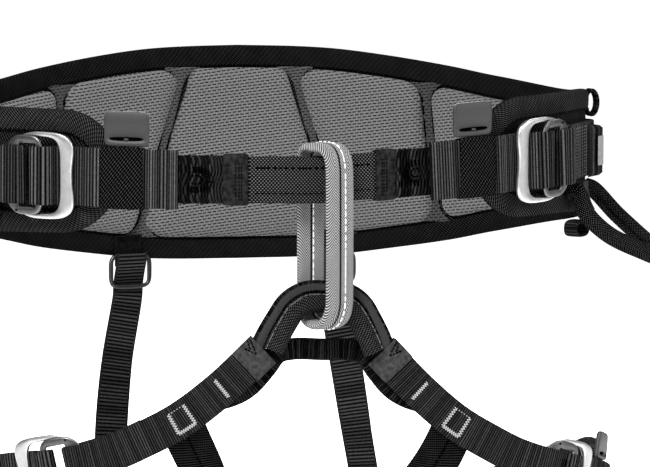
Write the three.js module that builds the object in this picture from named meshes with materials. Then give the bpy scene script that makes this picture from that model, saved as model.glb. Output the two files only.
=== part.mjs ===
// Sit harness as worn: a padded waist belt, two leg loops and the webbing that links them.
// Millimetres, +Z up, front toward -Y, origin at the middle of the waist.
import * as THREE from "three";

// Driving sizes
const GAP = 0.3;
const WAIST_HALF_WIDTH = 182;
const WAIST_HALF_DEPTH = 125;

// Worn a little askew: sideways drifts and leans of the front, the lower pieces and the rear straps
const FRONT_TILT = { slope: 0.02, noneAtY: 20, fullAtY: -60 };
const FRONT_DRIFT = { most: 4.5, none: 20, full: 80, fading: 160, gone: 330 };
const LOWER_DRIFT = { most: 7, reach: 200, noneAtZ: -215, fullAtZ: -150 };
const LEG_TILT = -0.038;
const REAR_DRIFT = -6;

// Belt walls
const SHELL_HALF = 2.5;
const BINDING_HALF = 4;
const BINDING_WIDTH = 12.5;
const BINDING_ROLL = { inset: 2.5, half: 2 };
const CHANNEL_WIDTH = 5;
const PANEL_MARGIN = 1.5;
const PANEL_BASE = 2.2;
const PANEL_CROWN = 4.2;
const PANEL_CORNER = 10;

// Webbing
const WEB_THICK = 2;
const TIE_THICK = 3.2;
const LOOP_THICK = 2.2;
const REAR_THICK = 1.6;
const WAIST_WEB = 31.5;
const TIE_WEB = 26;
const LOOP_WEB = 27;
const LEG_WEB = 20;
const THIGH_WEB = 24;
const REAR_WEB = 20;

// Belt edges at angles from the middle of the back
const BELT_EDGE = [
  { angle: 0, top: 66.5, bottom: -67 },
  { angle: 12, top: 65.6, bottom: -66.5 },
  { angle: 20, top: 64, bottom: -65 },
  { angle: 30, top: 60.2, bottom: -61 },
  { angle: 44, top: 54, bottom: -54.5 },
  { angle: 56, top: 48.5, bottom: -47.5 },
  { angle: 77, top: 42.5, bottom: -37.5 },
  { angle: 100, top: 42, bottom: -31 },
  { angle: 120, top: 41.5, bottom: -27.5 },
  { angle: 136, top: 40.5, bottom: -26.5 },
];
const NOSE_ANGLE = 136;
const NOSE_LENGTH = 33.5;

// Seams between lining panels, as angles from the middle of the back
const LINING_SEAMS = [
  { top: 11.3, bottom: 20.5 },
  { top: 39.2, bottom: 42 },
  { top: 122, bottom: 122 },
];

// Webbing folded through a buckle: distance past the frame's near edge, and rise above the base
const FOLDED_STRAP = [
  { along: 1, rise: 0 },
  { along: 12, rise: 0 },
  { along: 15.5, rise: 2.4 },
  { along: 19, rise: 5.1 },
  { along: 22, rise: 5.4 },
  { along: 23.4, rise: 5.5 },
  { along: 24.7, rise: 6.4 },
  { along: 25.2, rise: 7.9 },
  { along: 24.7, rise: 9.4 },
  { along: 23.4, rise: 10.3 },
  { along: 20, rise: 10.5 },
  { along: 18.2, rise: 10.3 },
  { along: 16.4, rise: 9.1 },
  { along: 14, rise: 5.8 },
  { along: 11, rise: 2.4 },
  { along: 1, rise: 2.3 },
];
const HOLDING_STRAP = [
  { along: 51, rise: -1.5 },
  { along: 43, rise: -0.6 },
  { along: 38, rise: 1.5 },
  { along: 35, rise: 1.9 },
  { along: 32.9, rise: 2.2 },
  { along: 31.7, rise: 4.2 },
  { along: 31.4, rise: 6.4 },
  { along: 31.7, rise: 8.6 },
  { along: 32.7, rise: 10.4 },
  { along: 35, rise: 10.8 },
  { along: 41, rise: 10.7 },
  { along: 45.2, rise: 8.9 },
  { along: 49, rise: 4.9 },
  { along: 55, rise: 2 },
  { along: 63, rise: 0.9 },
];

// Plain runs of webbing on either side of a buckle, measured the same way
const WAIST_RUNS = {
  low: { from: -36.5, to: -7, rise: 1.3, count: 3 },
  tail: { from: -7, to: -52, rise: 3.6, count: 4 },
  under: { from: 97, to: 62, rise: -1.5, count: 4 },
  over: { from: 73, to: 143, rise: 0.9, count: 7 },
};
const LEG_RUNS = {
  low: { to: -6, rise: 0, count: 8 },
  tail: { from: -5, to: -42, rise: 2.3, count: 4 },
  under: { from: 76, to: 58, rise: -1.5, count: 3 },
  over: { from: 72, count: 12 },
};

// Buckle rings: places along the strap, heights above the base, room beside the webbing and metal past it,
// how square the far end and the window are, and how far the near bar is drawn in at its middle
const FRAME = {
  from: 0, to: 42, windowFrom: 9.8, windowTo: 37.6, low: 3.7, high: 6.7,
  room: 4.9, border: 2.8, nearPower: 3.6, farPower: 2.4, windowPower: 5, waist: 3.4,
};
const PLATE = {
  from: 18.3, to: 42.4, windowFrom: 22.6, windowTo: 33, low: 7, high: 8.8,
  room: 1.5, border: 4.3, nearPower: 4.5, farPower: 2.4, windowPower: 14, waist: 0,
};

// Distances along the front of the waist, from the middle of the front
const WAIST_BUCKLE_AT = 119;
const WAIST_BASE = 5.4;
const KEEPER = { from: 84.5, to: 107, low: 5.35, high: 10.35, wall: 1 };
const RETAINER = { from: 81.5, to: 105.5, low: 17.3, high: 36, near: 6.6, far: 9.1, corner: 4 };
const TAPE = { from: 34.3, to: 46, low: -0.7, high: 4.9, wall: 1 };
const SIDE_TAB = { from: 196, to: 242, low: -9, high: 21, near: 7.7, edge: 9.7, far: 12.4, bevel: 2 };
const STRAP_HEIGHT = { middle: 0.7, slope: 0.034 };

// Upper tie-in loop: distance along the front and offset from the waist line
const UPPER_LOOP = [
  { front: -33.5, offset: 3.4 },
  { front: -20, offset: 3.6 },
  { front: 0, offset: 3.7 },
  { front: 20, offset: 3.6 },
  { front: 33.5, offset: 3.4 },
  { front: 34.8, offset: 2.9 },
  { front: 35.2, offset: 1.9 },
  { front: 34.8, offset: 0.9 },
  { front: 33.5, offset: 0.4 },
  { front: 20, offset: -2.5 },
  { front: 0, offset: -3.8 },
  { front: -20, offset: -2.5 },
  { front: -33.5, offset: 0.4 },
  { front: -34.8, offset: 0.9 },
  { front: -35.2, offset: 1.9 },
  { front: -34.8, offset: 2.9 },
];
const TIE_WEBBING = [
  { front: 37.2, offset: 2 },
  { front: 46, offset: 2.4 },
  { front: 58, offset: 4.3 },
  { front: 67, offset: 5.9 },
  { front: 82, offset: 5.9 },
];

// Belay loop
const BELAY = {
  x: 7.5, y: -125.5, top: 20.4, bottom: -79.4, halfDepth: 13.65, turn: 23.7, width: 17, thick: 4.4,
  topPower: 3.5, bottomPower: 2.3, steps: 44,
};

// Lower tie-in loop, right half, from its middle outward
const SLEEVE_RADIUS = 5.6;
const BAND_WIDTH = 6.6;
const BAND_TRIM = 0.65;
const LOWER_Y = -125.5;
const SLEEVE_PATH = [
  { x: 0, z: -65.7 },
  { x: 8.8, z: -65.9 },
  { x: 15.4, z: -69.8 },
  { x: 20, z: -77 },
  { x: 24.3, z: -85 },
  { x: 27.3, z: -92 },
];
const BRIDGE_WIDTH = 12;
const BRIDGE_PATH = [
  { x: 0, y: -118.3, z: -91.8 },
  { x: 16, y: -118.3, z: -91.8 },
  { x: 24, y: -118.5, z: -94 },
  { x: 30.6, y: -118.6, z: -102.6 },
  { x: 40.2, y: -119.4, z: -113.2 },
  { x: 58, y: -121, z: -123.5 },
];

// Leg loop webbing, right side; turn is the way its face looks, from straight ahead
const LEG_TRACK = [
  { x: 32.3, y: -121.9, z: -91.3, turn: -4 },
  { x: 54, y: -123.5, z: -112.5, turn: -2 },
  { x: 76, y: -124, z: -130, turn: 2 },
  { x: 96, y: -124.5, z: -141, turn: 7 },
  { x: 112, y: -123, z: -148.5, turn: 14 },
  { x: 141, y: -112, z: -158, turn: 30 },
  { x: 164, y: -93.5, z: -164, turn: 46 },
  { x: 183, y: -63, z: -173, turn: 64 },
  { x: 192.7, y: -24, z: -185, turn: 84 },
  { x: 193, y: 3, z: -194, turn: 92 },
];
const LEG_BUCKLE_ROW = 5;
const LEG_BASE = -0.9;
const BRIDGE_TAPE = { from: 0.5, to: 14.4, offset: 2, extraWidth: 0.6, thick: 1.4 };
const LEG_TAB = { from: -33, to: -13, low: 10.6, high: 26, near: -1.2, far: 1.2, corner: 3 };
const THIGH_PATH = [
  { x: 77, y: -121.3, z: -127, turn: 2 },
  { x: 71, y: -120, z: -142, turn: -4 },
  { x: 63, y: -116, z: -158, turn: -14 },
  { x: 48, y: -101, z: -186, turn: -34 },
  { x: 33, y: -74, z: -214, turn: -58 },
  { x: 22, y: -42, z: -232, turn: -78 },
  { x: 13.6, y: -3.4, z: -240, turn: -88 },
];

// Leg pad around the thigh, at angles from straight ahead outward
const THIGH = { x: 101, y: -15, halfWidth: 88, halfDepth: 104 };
const PAD_HALF = 3.8;
const PAD_SHIFT = -3.6;
const LEG_PAD = [
  { angle: 58, middle: -169, half: 13 },
  { angle: 66, middle: -173, half: 20 },
  { angle: 90, middle: -185, half: 30 },
  { angle: 120, middle: -212, half: 38 },
  { angle: 150, middle: -232, half: 42 },
  { angle: 180, middle: -242, half: 43 },
  { angle: 215, middle: -246, half: 40 },
  { angle: 245, middle: -244, half: 32 },
  { angle: 262, middle: -241, half: 16 },
];

// Rear strap, right side
const REAR_X = 66;
const REAR_ANCHOR = { top: -50, bottom: -69, offset: -5.2, thick: 1.6, width: 18 };
const REAR_BUCKLE = { top: -60.5, bottom: -83, halfWidth: 14.8, bar: 3, near: -6.3, far: -9.1 };
const REAR_PATH = [
  { x: 66, offset: -10.8, z: -60.5 },
  { x: 66, offset: -10.5, z: -65 },
  { x: 66, offset: -7.6, z: -72 },
  { x: 66, offset: -4.6, z: -81 },
  { x: 66.3, offset: -4.4, z: -88 },
];
const REAR_FOOT = [
  { x: 72, y: 108, z: -130 },
  { x: 77, y: 98, z: -172 },
];
const REAR_PAD_ANGLE = 191;
const REAR_TWIST = { beltZ: -100, padZ: -195 };
const REAR_SEWN = [
  { x: 79.5, z: -200 },
  { x: 80.5, z: -214 },
  { x: 81, z: -228 },
];

// Gear loop and small loops, at angles from the middle of the back
const GEAR_RADIUS = 5;
const GEAR_PATH = [
  { angle: 120, offset: 5.7, z: -14.8 },
  { angle: 120, offset: 10, z: -15.6 },
  { angle: 119, offset: 14, z: -27 },
  { angle: 114, offset: 22, z: -40.5 },
  { angle: 107, offset: 37, z: -52 },
  { angle: 99.5, offset: 50, z: -59 },
  { angle: 94, offset: 44, z: -52 },
  { angle: 91, offset: 24, z: -32 },
  { angle: 90, offset: 10, z: -16.8 },
  { angle: 90, offset: 5.6, z: -15.2 },
];
const SMALL_LOOP = { width: 9, thick: 2.2 };
const TOP_LOOP = { angle: 89, offset: 9.05, z: 34.3, halfOut: 3.6, halfHigh: 7.2, turn: 0, power: 2 };
const BOTTOM_LOOP = { angle: 88, offset: 2, z: -40.3, halfOut: 6.8, halfHigh: 4, turn: 40, power: 3 };

// Looks
const LOOKS = {
  binding: { colour: 0x1d1d1f, roughness: 0.85, metalness: 0 },
  cordura: { colour: 0x232325, roughness: 0.9, metalness: 0 },
  lining: { colour: 0x78797b, roughness: 0.95, metalness: 0 },
  webbing: { colour: 0x2e2e31, roughness: 0.75, metalness: 0 },
  elastic: { colour: 0x17171a, roughness: 0.9, metalness: 0 },
  tape: { colour: 0x2b2b2e, roughness: 0.7, metalness: 0 },
  belay: { colour: 0xb6b7b8, roughness: 0.8, metalness: 0 },
  plastic: { colour: 0x57585b, roughness: 0.5, metalness: 0 },
  steel: { colour: 0xd9dadb, roughness: 0.3, metalness: 1 },
  plate: { colour: 0x8f9092, roughness: 0.4, metalness: 1 },
  cord: { colour: 0x1e1e20, roughness: 0.8, metalness: 0 },
};

const UP = new THREE.Vector3(0, 0, 1);
const SIDES = [
  { name: "left", sign: -1 },
  { name: "right", sign: 1 },
];

// Small sums
const radians = THREE.MathUtils.degToRad;

function blend(from, to, at) {
  const k = THREE.MathUtils.clamp((at - from) / (to - from), 0, 1);
  return k * k * (3 - 2 * k);
}

// Smooth value of one column of a table between its rows
function lookUp(rows, key, column, at) {
  const last = rows.length - 1;
  if (at <= rows[0][key]) return rows[0][column];
  if (at >= rows[last][key]) return rows[last][column];
  const next = rows.findIndex((row) => row[key] >= at);
  const row = next - 1;
  const slope = (place) => {
    const before = rows[Math.max(place - 1, 0)];
    const after = rows[Math.min(place + 1, last)];
    return (after[column] - before[column]) / (after[key] - before[key]);
  };
  const span = rows[next][key] - rows[row][key];
  const u = (at - rows[row][key]) / span;
  const rise = rows[next][column] - rows[row][column];
  const bend = (1 - u) * (slope(row) * span - rise) - u * (slope(next) * span - rise);
  return rows[row][column] + rise * u + u * (1 - u) * bend;
}

// Waist line: an ellipse measured by arc length from the middle of the back
const ARC_STEP = 0.5;
const WAIST_ARCS = [{ angle: 0, arc: 0 }];
for (let angle = ARC_STEP; angle <= 180; angle += ARC_STEP) {
  const middle = radians(angle - ARC_STEP / 2);
  const speed = Math.hypot(WAIST_HALF_WIDTH * Math.cos(middle), WAIST_HALF_DEPTH * Math.sin(middle));
  const before = WAIST_ARCS[WAIST_ARCS.length - 1].arc;
  WAIST_ARCS.push({ angle, arc: before + speed * radians(ARC_STEP) });
}
const HALF_GIRTH = WAIST_ARCS[WAIST_ARCS.length - 1].arc;

function arcAt(angle) {
  return Math.sign(angle) * lookUp(WAIST_ARCS, "angle", "arc", Math.abs(angle));
}

function angleAt(arc) {
  return Math.sign(arc) * lookUp(WAIST_ARCS, "arc", "angle", Math.abs(arc));
}

// Point on the waist by arc length from the back, offset outward and height.
// The front is worn a little round to one side and leans.
function onWaist(arc, offset, height) {
  const fromFront = HALF_GIRTH - Math.abs(arc);
  const rising = blend(FRONT_DRIFT.none, FRONT_DRIFT.full, fromFront);
  const drift = FRONT_DRIFT.most * rising * blend(FRONT_DRIFT.gone, FRONT_DRIFT.fading, fromFront);
  const angle = radians(angleAt(arc + drift));
  const normal = new THREE.Vector3(
    Math.sin(angle) / WAIST_HALF_WIDTH, Math.cos(angle) / WAIST_HALF_DEPTH, 0).normalize();
  const point = new THREE.Vector3(
    WAIST_HALF_WIDTH * Math.sin(angle), WAIST_HALF_DEPTH * Math.cos(angle), height);
  point.addScaledVector(normal, offset);
  point.z += FRONT_TILT.slope * point.x * blend(FRONT_TILT.noneAtY, FRONT_TILT.fullAtY, point.y);
  return point;
}

// The same measured from the middle of the front, with heights from the middle of the strap
function onFront(sign, front, offset, height) {
  const side = front < 0 ? -sign : sign;
  const middle = STRAP_HEIGHT.middle + STRAP_HEIGHT.slope * Math.abs(front);
  return onWaist(side * (HALF_GIRTH - Math.abs(front)), offset, middle + height);
}

// Lower pieces hang a little to one side and lean
function hung(sign, x, y, z) {
  const across = sign * x;
  const inward = 1 - x / LOWER_DRIFT.reach;
  const drift = LOWER_DRIFT.most * inward * blend(LOWER_DRIFT.noneAtZ, LOWER_DRIFT.fullAtZ, z);
  return new THREE.Vector3(across + drift, y, z + LEG_TILT * across);
}

// Closed body through a row of rings with equal numbers of points
function loft(rings, closed = false) {
  const count = rings[0].length;
  const points = rings.flat().flatMap((point) => [point.x, point.y, point.z]);
  const faces = [];
  const bays = closed ? rings.length : rings.length - 1;
  for (let bay = 0; bay < bays; bay += 1) {
    const near = bay * count;
    const far = ((bay + 1) % rings.length) * count;
    for (let corner = 0; corner < count; corner += 1) {
      const next = (corner + 1) % count;
      faces.push(near + corner, far + corner, far + next);
      faces.push(near + corner, far + next, near + next);
    }
  }
  if (!closed) {
    const end = (rings.length - 1) * count;
    for (let corner = 1; corner < count - 1; corner += 1) {
      faces.push(0, corner, corner + 1);
      faces.push(end, end + corner + 1, end + corner);
    }
  }
  return facedOut(points, faces);
}

// Geometry with every face turned outward
function facedOut(points, faces) {
  let volume = 0;
  const corner = (index) => new THREE.Vector3().fromArray(points, index * 3);
  for (let face = 0; face < faces.length; face += 3) {
    const normal = corner(faces[face + 1]).cross(corner(faces[face + 2]));
    volume += corner(faces[face]).dot(normal);
  }
  if (volume < 0) faces.reverse();
  const geometry = new THREE.BufferGeometry();
  geometry.setAttribute("position", new THREE.Float32BufferAttribute(points, 3));
  geometry.setIndex(faces);
  geometry.computeVertexNormals();
  return geometry;
}

// Strap of even thickness; a station gives its centre and the way across its width or the way it faces
function ribbon(stations, width, thick, closed = false) {
  const last = stations.length - 1;
  const rings = stations.map((station, index) => {
    const before = closed ? stations[(index + last) % (last + 1)] : stations[Math.max(index - 1, 0)];
    const after = closed ? stations[(index + 1) % (last + 1)] : stations[Math.min(index + 1, last)];
    const tangent = after.at.clone().sub(before.at).normalize();
    const across = station.across
      ? station.across.clone()
      : station.out.clone().cross(tangent).normalize();
    const out = tangent.clone().cross(across).normalize();
    across.crossVectors(out, tangent).normalize();
    return [[1, 1], [-1, 1], [-1, -1], [1, -1]].map(([side, face]) => station.at.clone()
      .addScaledVector(across, side * width / 2)
      .addScaledVector(out, face * thick / 2));
  });
  return loft(rings, closed);
}

// Round bar along a row of points
function bar(points, radius, sides) {
  const last = points.length - 1;
  let across = new THREE.Vector3(0, 1, 0.2);
  const rings = points.map((point, index) => {
    const ahead = points[Math.min(index + 1, last)];
    const tangent = ahead.clone().sub(points[Math.max(index - 1, 0)]).normalize();
    const out = tangent.clone().cross(across).normalize();
    across = out.clone().cross(tangent).normalize();
    const turn = across.clone();
    return Array.from({ length: sides }, (_, side) => {
      const angle = (2 * Math.PI * side) / sides;
      return point.clone()
        .addScaledVector(turn, radius * Math.cos(angle))
        .addScaledVector(out, radius * Math.sin(angle));
    });
  });
  return loft(rings);
}

// Evenly spaced points on a smooth curve through the given ones
function smoothed(points, count, closed = false) {
  const curve = new THREE.CatmullRomCurve3(points, closed, "centripetal");
  const steps = closed ? count : count - 1;
  return Array.from({ length: count }, (_, index) => curve.getPointAt(index / steps));
}

// Sleeve around a strap: four corners inside and out, between two places on a track
function sleeve(track, from, to, low, high, halfHeight, wall) {
  const corners = [[low, -1], [high, -1], [high, 1], [low, 1]];
  const rings = corners.map(([offset, side]) => {
    const outward = offset === low ? -wall : wall;
    const inside = (at) => track(at, offset, side * halfHeight);
    const outside = (at) => track(at, offset + outward, side * (halfHeight + wall));
    return [inside(from), inside(to), outside(to), outside(from)];
  });
  return loft(rings, true);
}

// Rounded outline, squarer on the near side; used for buckle parts
const BUCKLE_POINTS = 24;
function roundedOutline(from, to, halfHeight, nearPower, farPower) {
  return Array.from({ length: BUCKLE_POINTS }, (_, index) => {
    const angle = (2 * Math.PI * (index + 0.5)) / BUCKLE_POINTS;
    const power = Math.cos(angle) < 0 ? nearPower : farPower;
    const along = Math.sign(Math.cos(angle)) * Math.abs(Math.cos(angle)) ** (2 / power);
    const high = Math.sign(Math.sin(angle)) * Math.abs(Math.sin(angle)) ** (2 / power);
    return { along: (from + to) / 2 + (along * (to - from)) / 2, high: high * halfHeight };
  });
}

// Flat ring of a buckle laid along a track
function buckleRing(track, start, base, webWidth, size) {
  const window = webWidth / 2 + size.room;
  const half = window + size.border;
  const outer = roundedOutline(size.from, size.to, half, size.nearPower, size.farPower);
  const inner = roundedOutline(size.windowFrom, size.windowTo, window, size.windowPower, size.windowPower);
  const rings = outer.map((edge, index) => {
    const hole = inner[index];
    const near = blend((size.from + size.to) / 2, size.from, edge.along);
    const drawn = edge.along + size.waist * near * (1 - (edge.high / half) ** 2) ** 2;
    const rim = (offset) => track(start + drawn, base + offset, edge.high);
    const lip = (offset) => track(start + hole.along, base + offset, hole.high);
    return [rim(size.low), rim(size.high), lip(size.high), lip(size.low)];
  });
  return loft(rings, true);
}

// Strap laid along a track from rows of distance and offset
function trackStrap(track, rows, width, thick, count) {
  const across = (along, offset) => track(along, offset, 1).sub(track(along, offset, -1)).normalize();
  const stations = rows.map((row) => ({
    at: track(row.along, row.offset, 0),
    across: across(row.along, row.offset),
  }));
  if (!count) return ribbon(stations, width, thick);
  const points = smoothed(stations.map((station) => station.at), count);
  const ways = stations.map(({ across: way }, index) => ({ index, x: way.x, y: way.y, z: way.z }));
  return ribbon(points.map((at, index) => {
    const place = (index / (count - 1)) * (rows.length - 1);
    const way = ["x", "y", "z"].map((axis) => lookUp(ways, "index", axis, place));
    return { at, across: new THREE.Vector3(...way).normalize() };
  }), width, thick);
}

// The harness
const harness = new THREE.Group();
harness.name = "sit_harness";

function add(name, geometry, lookName) {
  const look = LOOKS[lookName];
  const material = new THREE.MeshStandardMaterial({
    color: look.colour, roughness: look.roughness, metalness: look.metalness,
  });
  const mesh = new THREE.Mesh(geometry, material);
  mesh.name = name;
  harness.add(mesh);
}

// Belt outline, inset from its edge
const NOSE_ARC = arcAt(NOSE_ANGLE);
const NOSE_HIGH = BELT_EDGE[BELT_EDGE.length - 1].top;
const NOSE_LOW = BELT_EDGE[BELT_EDGE.length - 1].bottom;
const NOSE_MIDDLE = (NOSE_HIGH + NOSE_LOW) / 2;
const NOSE_HALF = (NOSE_HIGH - NOSE_LOW) / 2;

function beltEdge(arc, edge, inset) {
  const sign = edge === "top" ? -1 : 1;
  const along = Math.abs(arc);
  if (along <= NOSE_ARC) {
    return lookUp(BELT_EDGE, "angle", edge, Math.abs(angleAt(arc))) + sign * inset;
  }
  const reach = Math.min(1, (along - NOSE_ARC) / (NOSE_LENGTH - inset));
  return NOSE_MIDDLE - sign * (NOSE_HALF - inset) * Math.sqrt(1 - reach * reach);
}

const RUN_STEPS = 52;
const RUN_ARCS = Array.from(
  { length: RUN_STEPS + 1 }, (_, step) => NOSE_ARC * ((2 * step) / RUN_STEPS - 1));
const NOSE_TURNS = [72, 54, 36, 18];

function waistShell() {
  const inset = BINDING_WIDTH + GAP;
  const tip = NOSE_TURNS.map((turn) => NOSE_ARC + (NOSE_LENGTH - inset) * Math.cos(radians(90 - turn)));
  tip.reverse();
  const arcs = [...tip.map((arc) => -arc).reverse(), ...RUN_ARCS, ...tip];
  return loft(arcs.map((arc) => {
    const top = beltEdge(arc, "top", inset);
    const bottom = beltEdge(arc, "bottom", inset);
    return [
      onWaist(arc, SHELL_HALF, bottom), onWaist(arc, SHELL_HALF, top),
      onWaist(arc, -SHELL_HALF, top), onWaist(arc, -SHELL_HALF, bottom),
    ];
  }));
}

function waistBinding() {
  const section = [
    { inset: 0, offset: BINDING_ROLL.half },
    { inset: BINDING_ROLL.inset, offset: BINDING_HALF },
    { inset: BINDING_WIDTH, offset: BINDING_HALF },
    { inset: BINDING_WIDTH, offset: -BINDING_HALF },
    { inset: BINDING_ROLL.inset, offset: -BINDING_HALF },
    { inset: 0, offset: -BINDING_ROLL.half },
  ];
  const run = (arc, edge) => section.map(
    ({ inset, offset }) => onWaist(arc, offset, beltEdge(arc, edge, inset)));
  const nose = (sign, turn) => section.map(({ inset, offset }) => onWaist(
    sign * (NOSE_ARC + (NOSE_LENGTH - inset) * Math.cos(radians(turn))),
    offset, NOSE_MIDDLE + (NOSE_HALF - inset) * Math.sin(radians(turn))));
  const turns = [...NOSE_TURNS, 0, ...NOSE_TURNS.map((turn) => -turn).reverse()];
  return loft([
    ...RUN_ARCS.map((arc) => run(arc, "top")),
    ...turns.map((turn) => nose(1, turn)),
    ...[...RUN_ARCS].reverse().map((arc) => run(arc, "bottom")),
    ...[...turns].reverse().map((turn) => nose(-1, turn)),
  ], true);
}

// Padded panel between two seams; each seam leans from its top angle to its bottom angle
function liningPanel(left, right, steps) {
  const rows = [1, 0.75, 0.5, 0.25, 0];
  const seamArc = (seam, up) => THREE.MathUtils.lerp(arcAt(seam.bottom), arcAt(seam.top), up);
  const rings = [];
  for (let step = 0; step <= steps; step += 1) {
    const across = step / steps;
    const arcOf = (up) => THREE.MathUtils.lerp(
      seamArc(left, up) + CHANNEL_WIDTH / 2, seamArc(right, up) - CHANNEL_WIDTH / 2, across);
    const length = seamArc(right, 0.5) - seamArc(left, 0.5) - CHANNEL_WIDTH;
    const fromEnd = Math.min(across, 1 - across) * length;
    const short = Math.max(0, PANEL_CORNER - fromEnd);
    const trim = BINDING_WIDTH + PANEL_MARGIN + PANEL_CORNER - Math.sqrt(PANEL_CORNER ** 2 - short ** 2);
    const place = (up, offset) => {
      const arc = arcOf(up);
      const low = beltEdge(arc, "bottom", trim);
      return onWaist(arc, offset, THREE.MathUtils.lerp(low, beltEdge(arc, "top", trim), up));
    };
    const bulge = (up) => (1 - (2 * across - 1) ** 4) * (1 - (2 * up - 1) ** 4);
    const face = SHELL_HALF + GAP;
    rings.push([
      place(0, -face), place(1, -face),
      ...rows.map((up) => place(up, -(face + PANEL_BASE + PANEL_CROWN * bulge(up)))),
    ]);
  }
  return loft(rings);
}

add("waist_shell", waistShell(), "cordura");
add("waist_binding", waistBinding(), "binding");
const mirrored = (seam) => ({ top: -seam.top, bottom: -seam.bottom });
const [innerSeam, outerSeam, endSeam] = LINING_SEAMS;
add("lining_panel_centre", liningPanel(mirrored(innerSeam), innerSeam, 8), "lining");
add("lining_panel_back_left", liningPanel(mirrored(outerSeam), mirrored(innerSeam), 8), "lining");
add("lining_panel_back_right", liningPanel(innerSeam, outerSeam, 8), "lining");
add("lining_panel_side_left", liningPanel(mirrored(endSeam), mirrored(outerSeam), 18), "lining");
add("lining_panel_side_right", liningPanel(outerSeam, endSeam, 18), "lining");

// Plain run of a strap, measured from a starting place on its track
function plainRun(size, start, base) {
  return Array.from({ length: size.count }, (_, index) => ({
    along: start + THREE.MathUtils.lerp(size.from, size.to, index / (size.count - 1)),
    offset: base + size.rise,
  }));
}

// Webbing through a buckle, with plain runs before and after the fold
function foldedRows(table, start, base, before, after) {
  const folded = table.map((row) => ({ along: start + row.along, offset: base + row.rise }));
  return [...plainRun(before, start, base), ...folded, ...plainRun(after, start, base)];
}

// Plate standing on the edge of a strap, rounded at its two upper corners
function standingTab(track, size) {
  const shares = [0, 0.04, 0.12, 0.5, 0.88, 0.96, 1];
  return loft(shares.map((share) => {
    const along = THREE.MathUtils.lerp(size.from, size.to, share);
    const fromEnd = Math.min(along - size.from, size.to - along);
    const short = Math.max(0, size.corner - fromEnd);
    const top = size.high - size.corner + Math.sqrt(size.corner ** 2 - short ** 2);
    return [
      track(along, size.near, size.low), track(along, size.far, size.low),
      track(along, size.far, top), track(along, size.near, top),
    ];
  }));
}

// Waist fastening
for (const { name, sign } of SIDES) {
  const front = (along, offset, height) => onFront(sign, along, offset, height);
  const buckle = (size) => buckleRing(front, WAIST_BUCKLE_AT, WAIST_BASE, WAIST_WEB, size);
  add(`waist_buckle_frame_${name}`, buckle(FRAME), "steel");
  add(`waist_buckle_plate_${name}`, buckle(PLATE), "plate");

  const threaded = (table, before, after) => trackStrap(
    front, foldedRows(table, WAIST_BUCKLE_AT, WAIST_BASE, before, after), WAIST_WEB, WEB_THICK);
  add(`front_strap_${name}`, threaded(FOLDED_STRAP, WAIST_RUNS.low, WAIST_RUNS.tail), "webbing");
  add(`waist_webbing_${name}`, threaded(HOLDING_STRAP, WAIST_RUNS.under, WAIST_RUNS.over), "webbing");

  const keeperHalf = WAIST_WEB / 2 + GAP;
  add(`strap_keeper_${name}`,
    sleeve(front, KEEPER.from, KEEPER.to, KEEPER.low, KEEPER.high, keeperHalf, KEEPER.wall), "elastic");

  add(`strap_retainer_${name}`, standingTab(front, RETAINER), "plastic");

  const tieRows = TIE_WEBBING.map((row) => ({ along: row.front, offset: row.offset }));
  add(`tie_in_webbing_${name}`, trackStrap(front, tieRows, TIE_WEB, TIE_THICK, 14), "webbing");
  add(`tie_in_tape_${name}`,
    sleeve(front, TAPE.from, TAPE.to, TAPE.low, TAPE.high, LOOP_WEB / 2 + GAP, TAPE.wall), "tape");
}

// Upper tie-in loop and belay loop
const upperPoints = UPPER_LOOP.map((row) => onFront(1, row.front, row.offset, 0));
add("upper_tie_in_loop",
  ribbon(upperPoints.map((at) => ({ at, across: UP })), LOOP_WEB, LOOP_THICK, true), "webbing");

function belayLoop() {
  const turn = radians(BELAY.turn);
  const forward = new THREE.Vector3(Math.sin(turn), -Math.cos(turn), 0);
  const across = new THREE.Vector3(Math.cos(turn), Math.sin(turn), 0);
  const middle = (BELAY.top + BELAY.bottom) / 2;
  const endReach = BELAY.halfDepth;
  const straight = (BELAY.top - BELAY.bottom - BELAY.thick) / 2 - endReach;
  const stations = Array.from({ length: BELAY.steps }, (_, step) => {
    const angle = (2 * Math.PI * (step + 0.5)) / BELAY.steps;
    const power = Math.sin(angle) > 0 ? BELAY.topPower : BELAY.bottomPower;
    const out = Math.sign(Math.cos(angle)) * Math.abs(Math.cos(angle)) ** (2 / power);
    const rise = Math.sign(Math.sin(angle)) * Math.abs(Math.sin(angle)) ** (2 / power);
    const height = middle + Math.sign(rise) * straight + rise * endReach;
    const at = new THREE.Vector3(BELAY.x, BELAY.y, height);
    at.addScaledVector(forward, out * BELAY.halfDepth);
    return { at, across };
  });
  return ribbon(stations, BELAY.width, BELAY.thick, true);
}
add("belay_loop", belayLoop(), "belay");

// Leg loop track: a smooth curve through its rows, measured from the inner end
function spaceTrack(sign, rows) {
  const curve = new THREE.CatmullRomCurve3(
    rows.map((row) => hung(sign, row.x, row.y, row.z)), false, "centripetal");
  const fine = 240;
  curve.arcLengthDivisions = fine;
  const lengths = curve.getLengths(fine);
  const turns = rows.map((row, index) => ({
    length: lengths[Math.round((index / (rows.length - 1)) * fine)], turn: row.turn,
  }));
  const total = curve.getLength();
  const track = (along, offset, height) => {
    const share = THREE.MathUtils.clamp(along / total, 0, 1);
    const tangent = curve.getTangentAt(share);
    const turn = radians(lookUp(turns, "length", "turn", along));
    const facing = new THREE.Vector3(sign * Math.sin(turn), -Math.cos(turn), 0);
    const across = facing.clone().cross(tangent).normalize().multiplyScalar(sign);
    const out = tangent.clone().cross(across).normalize().multiplyScalar(sign);
    return curve.getPointAt(share).addScaledVector(out, offset).addScaledVector(across, height);
  };
  return { track, total, rowAt: (row) => turns[row].length };
}

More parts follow.
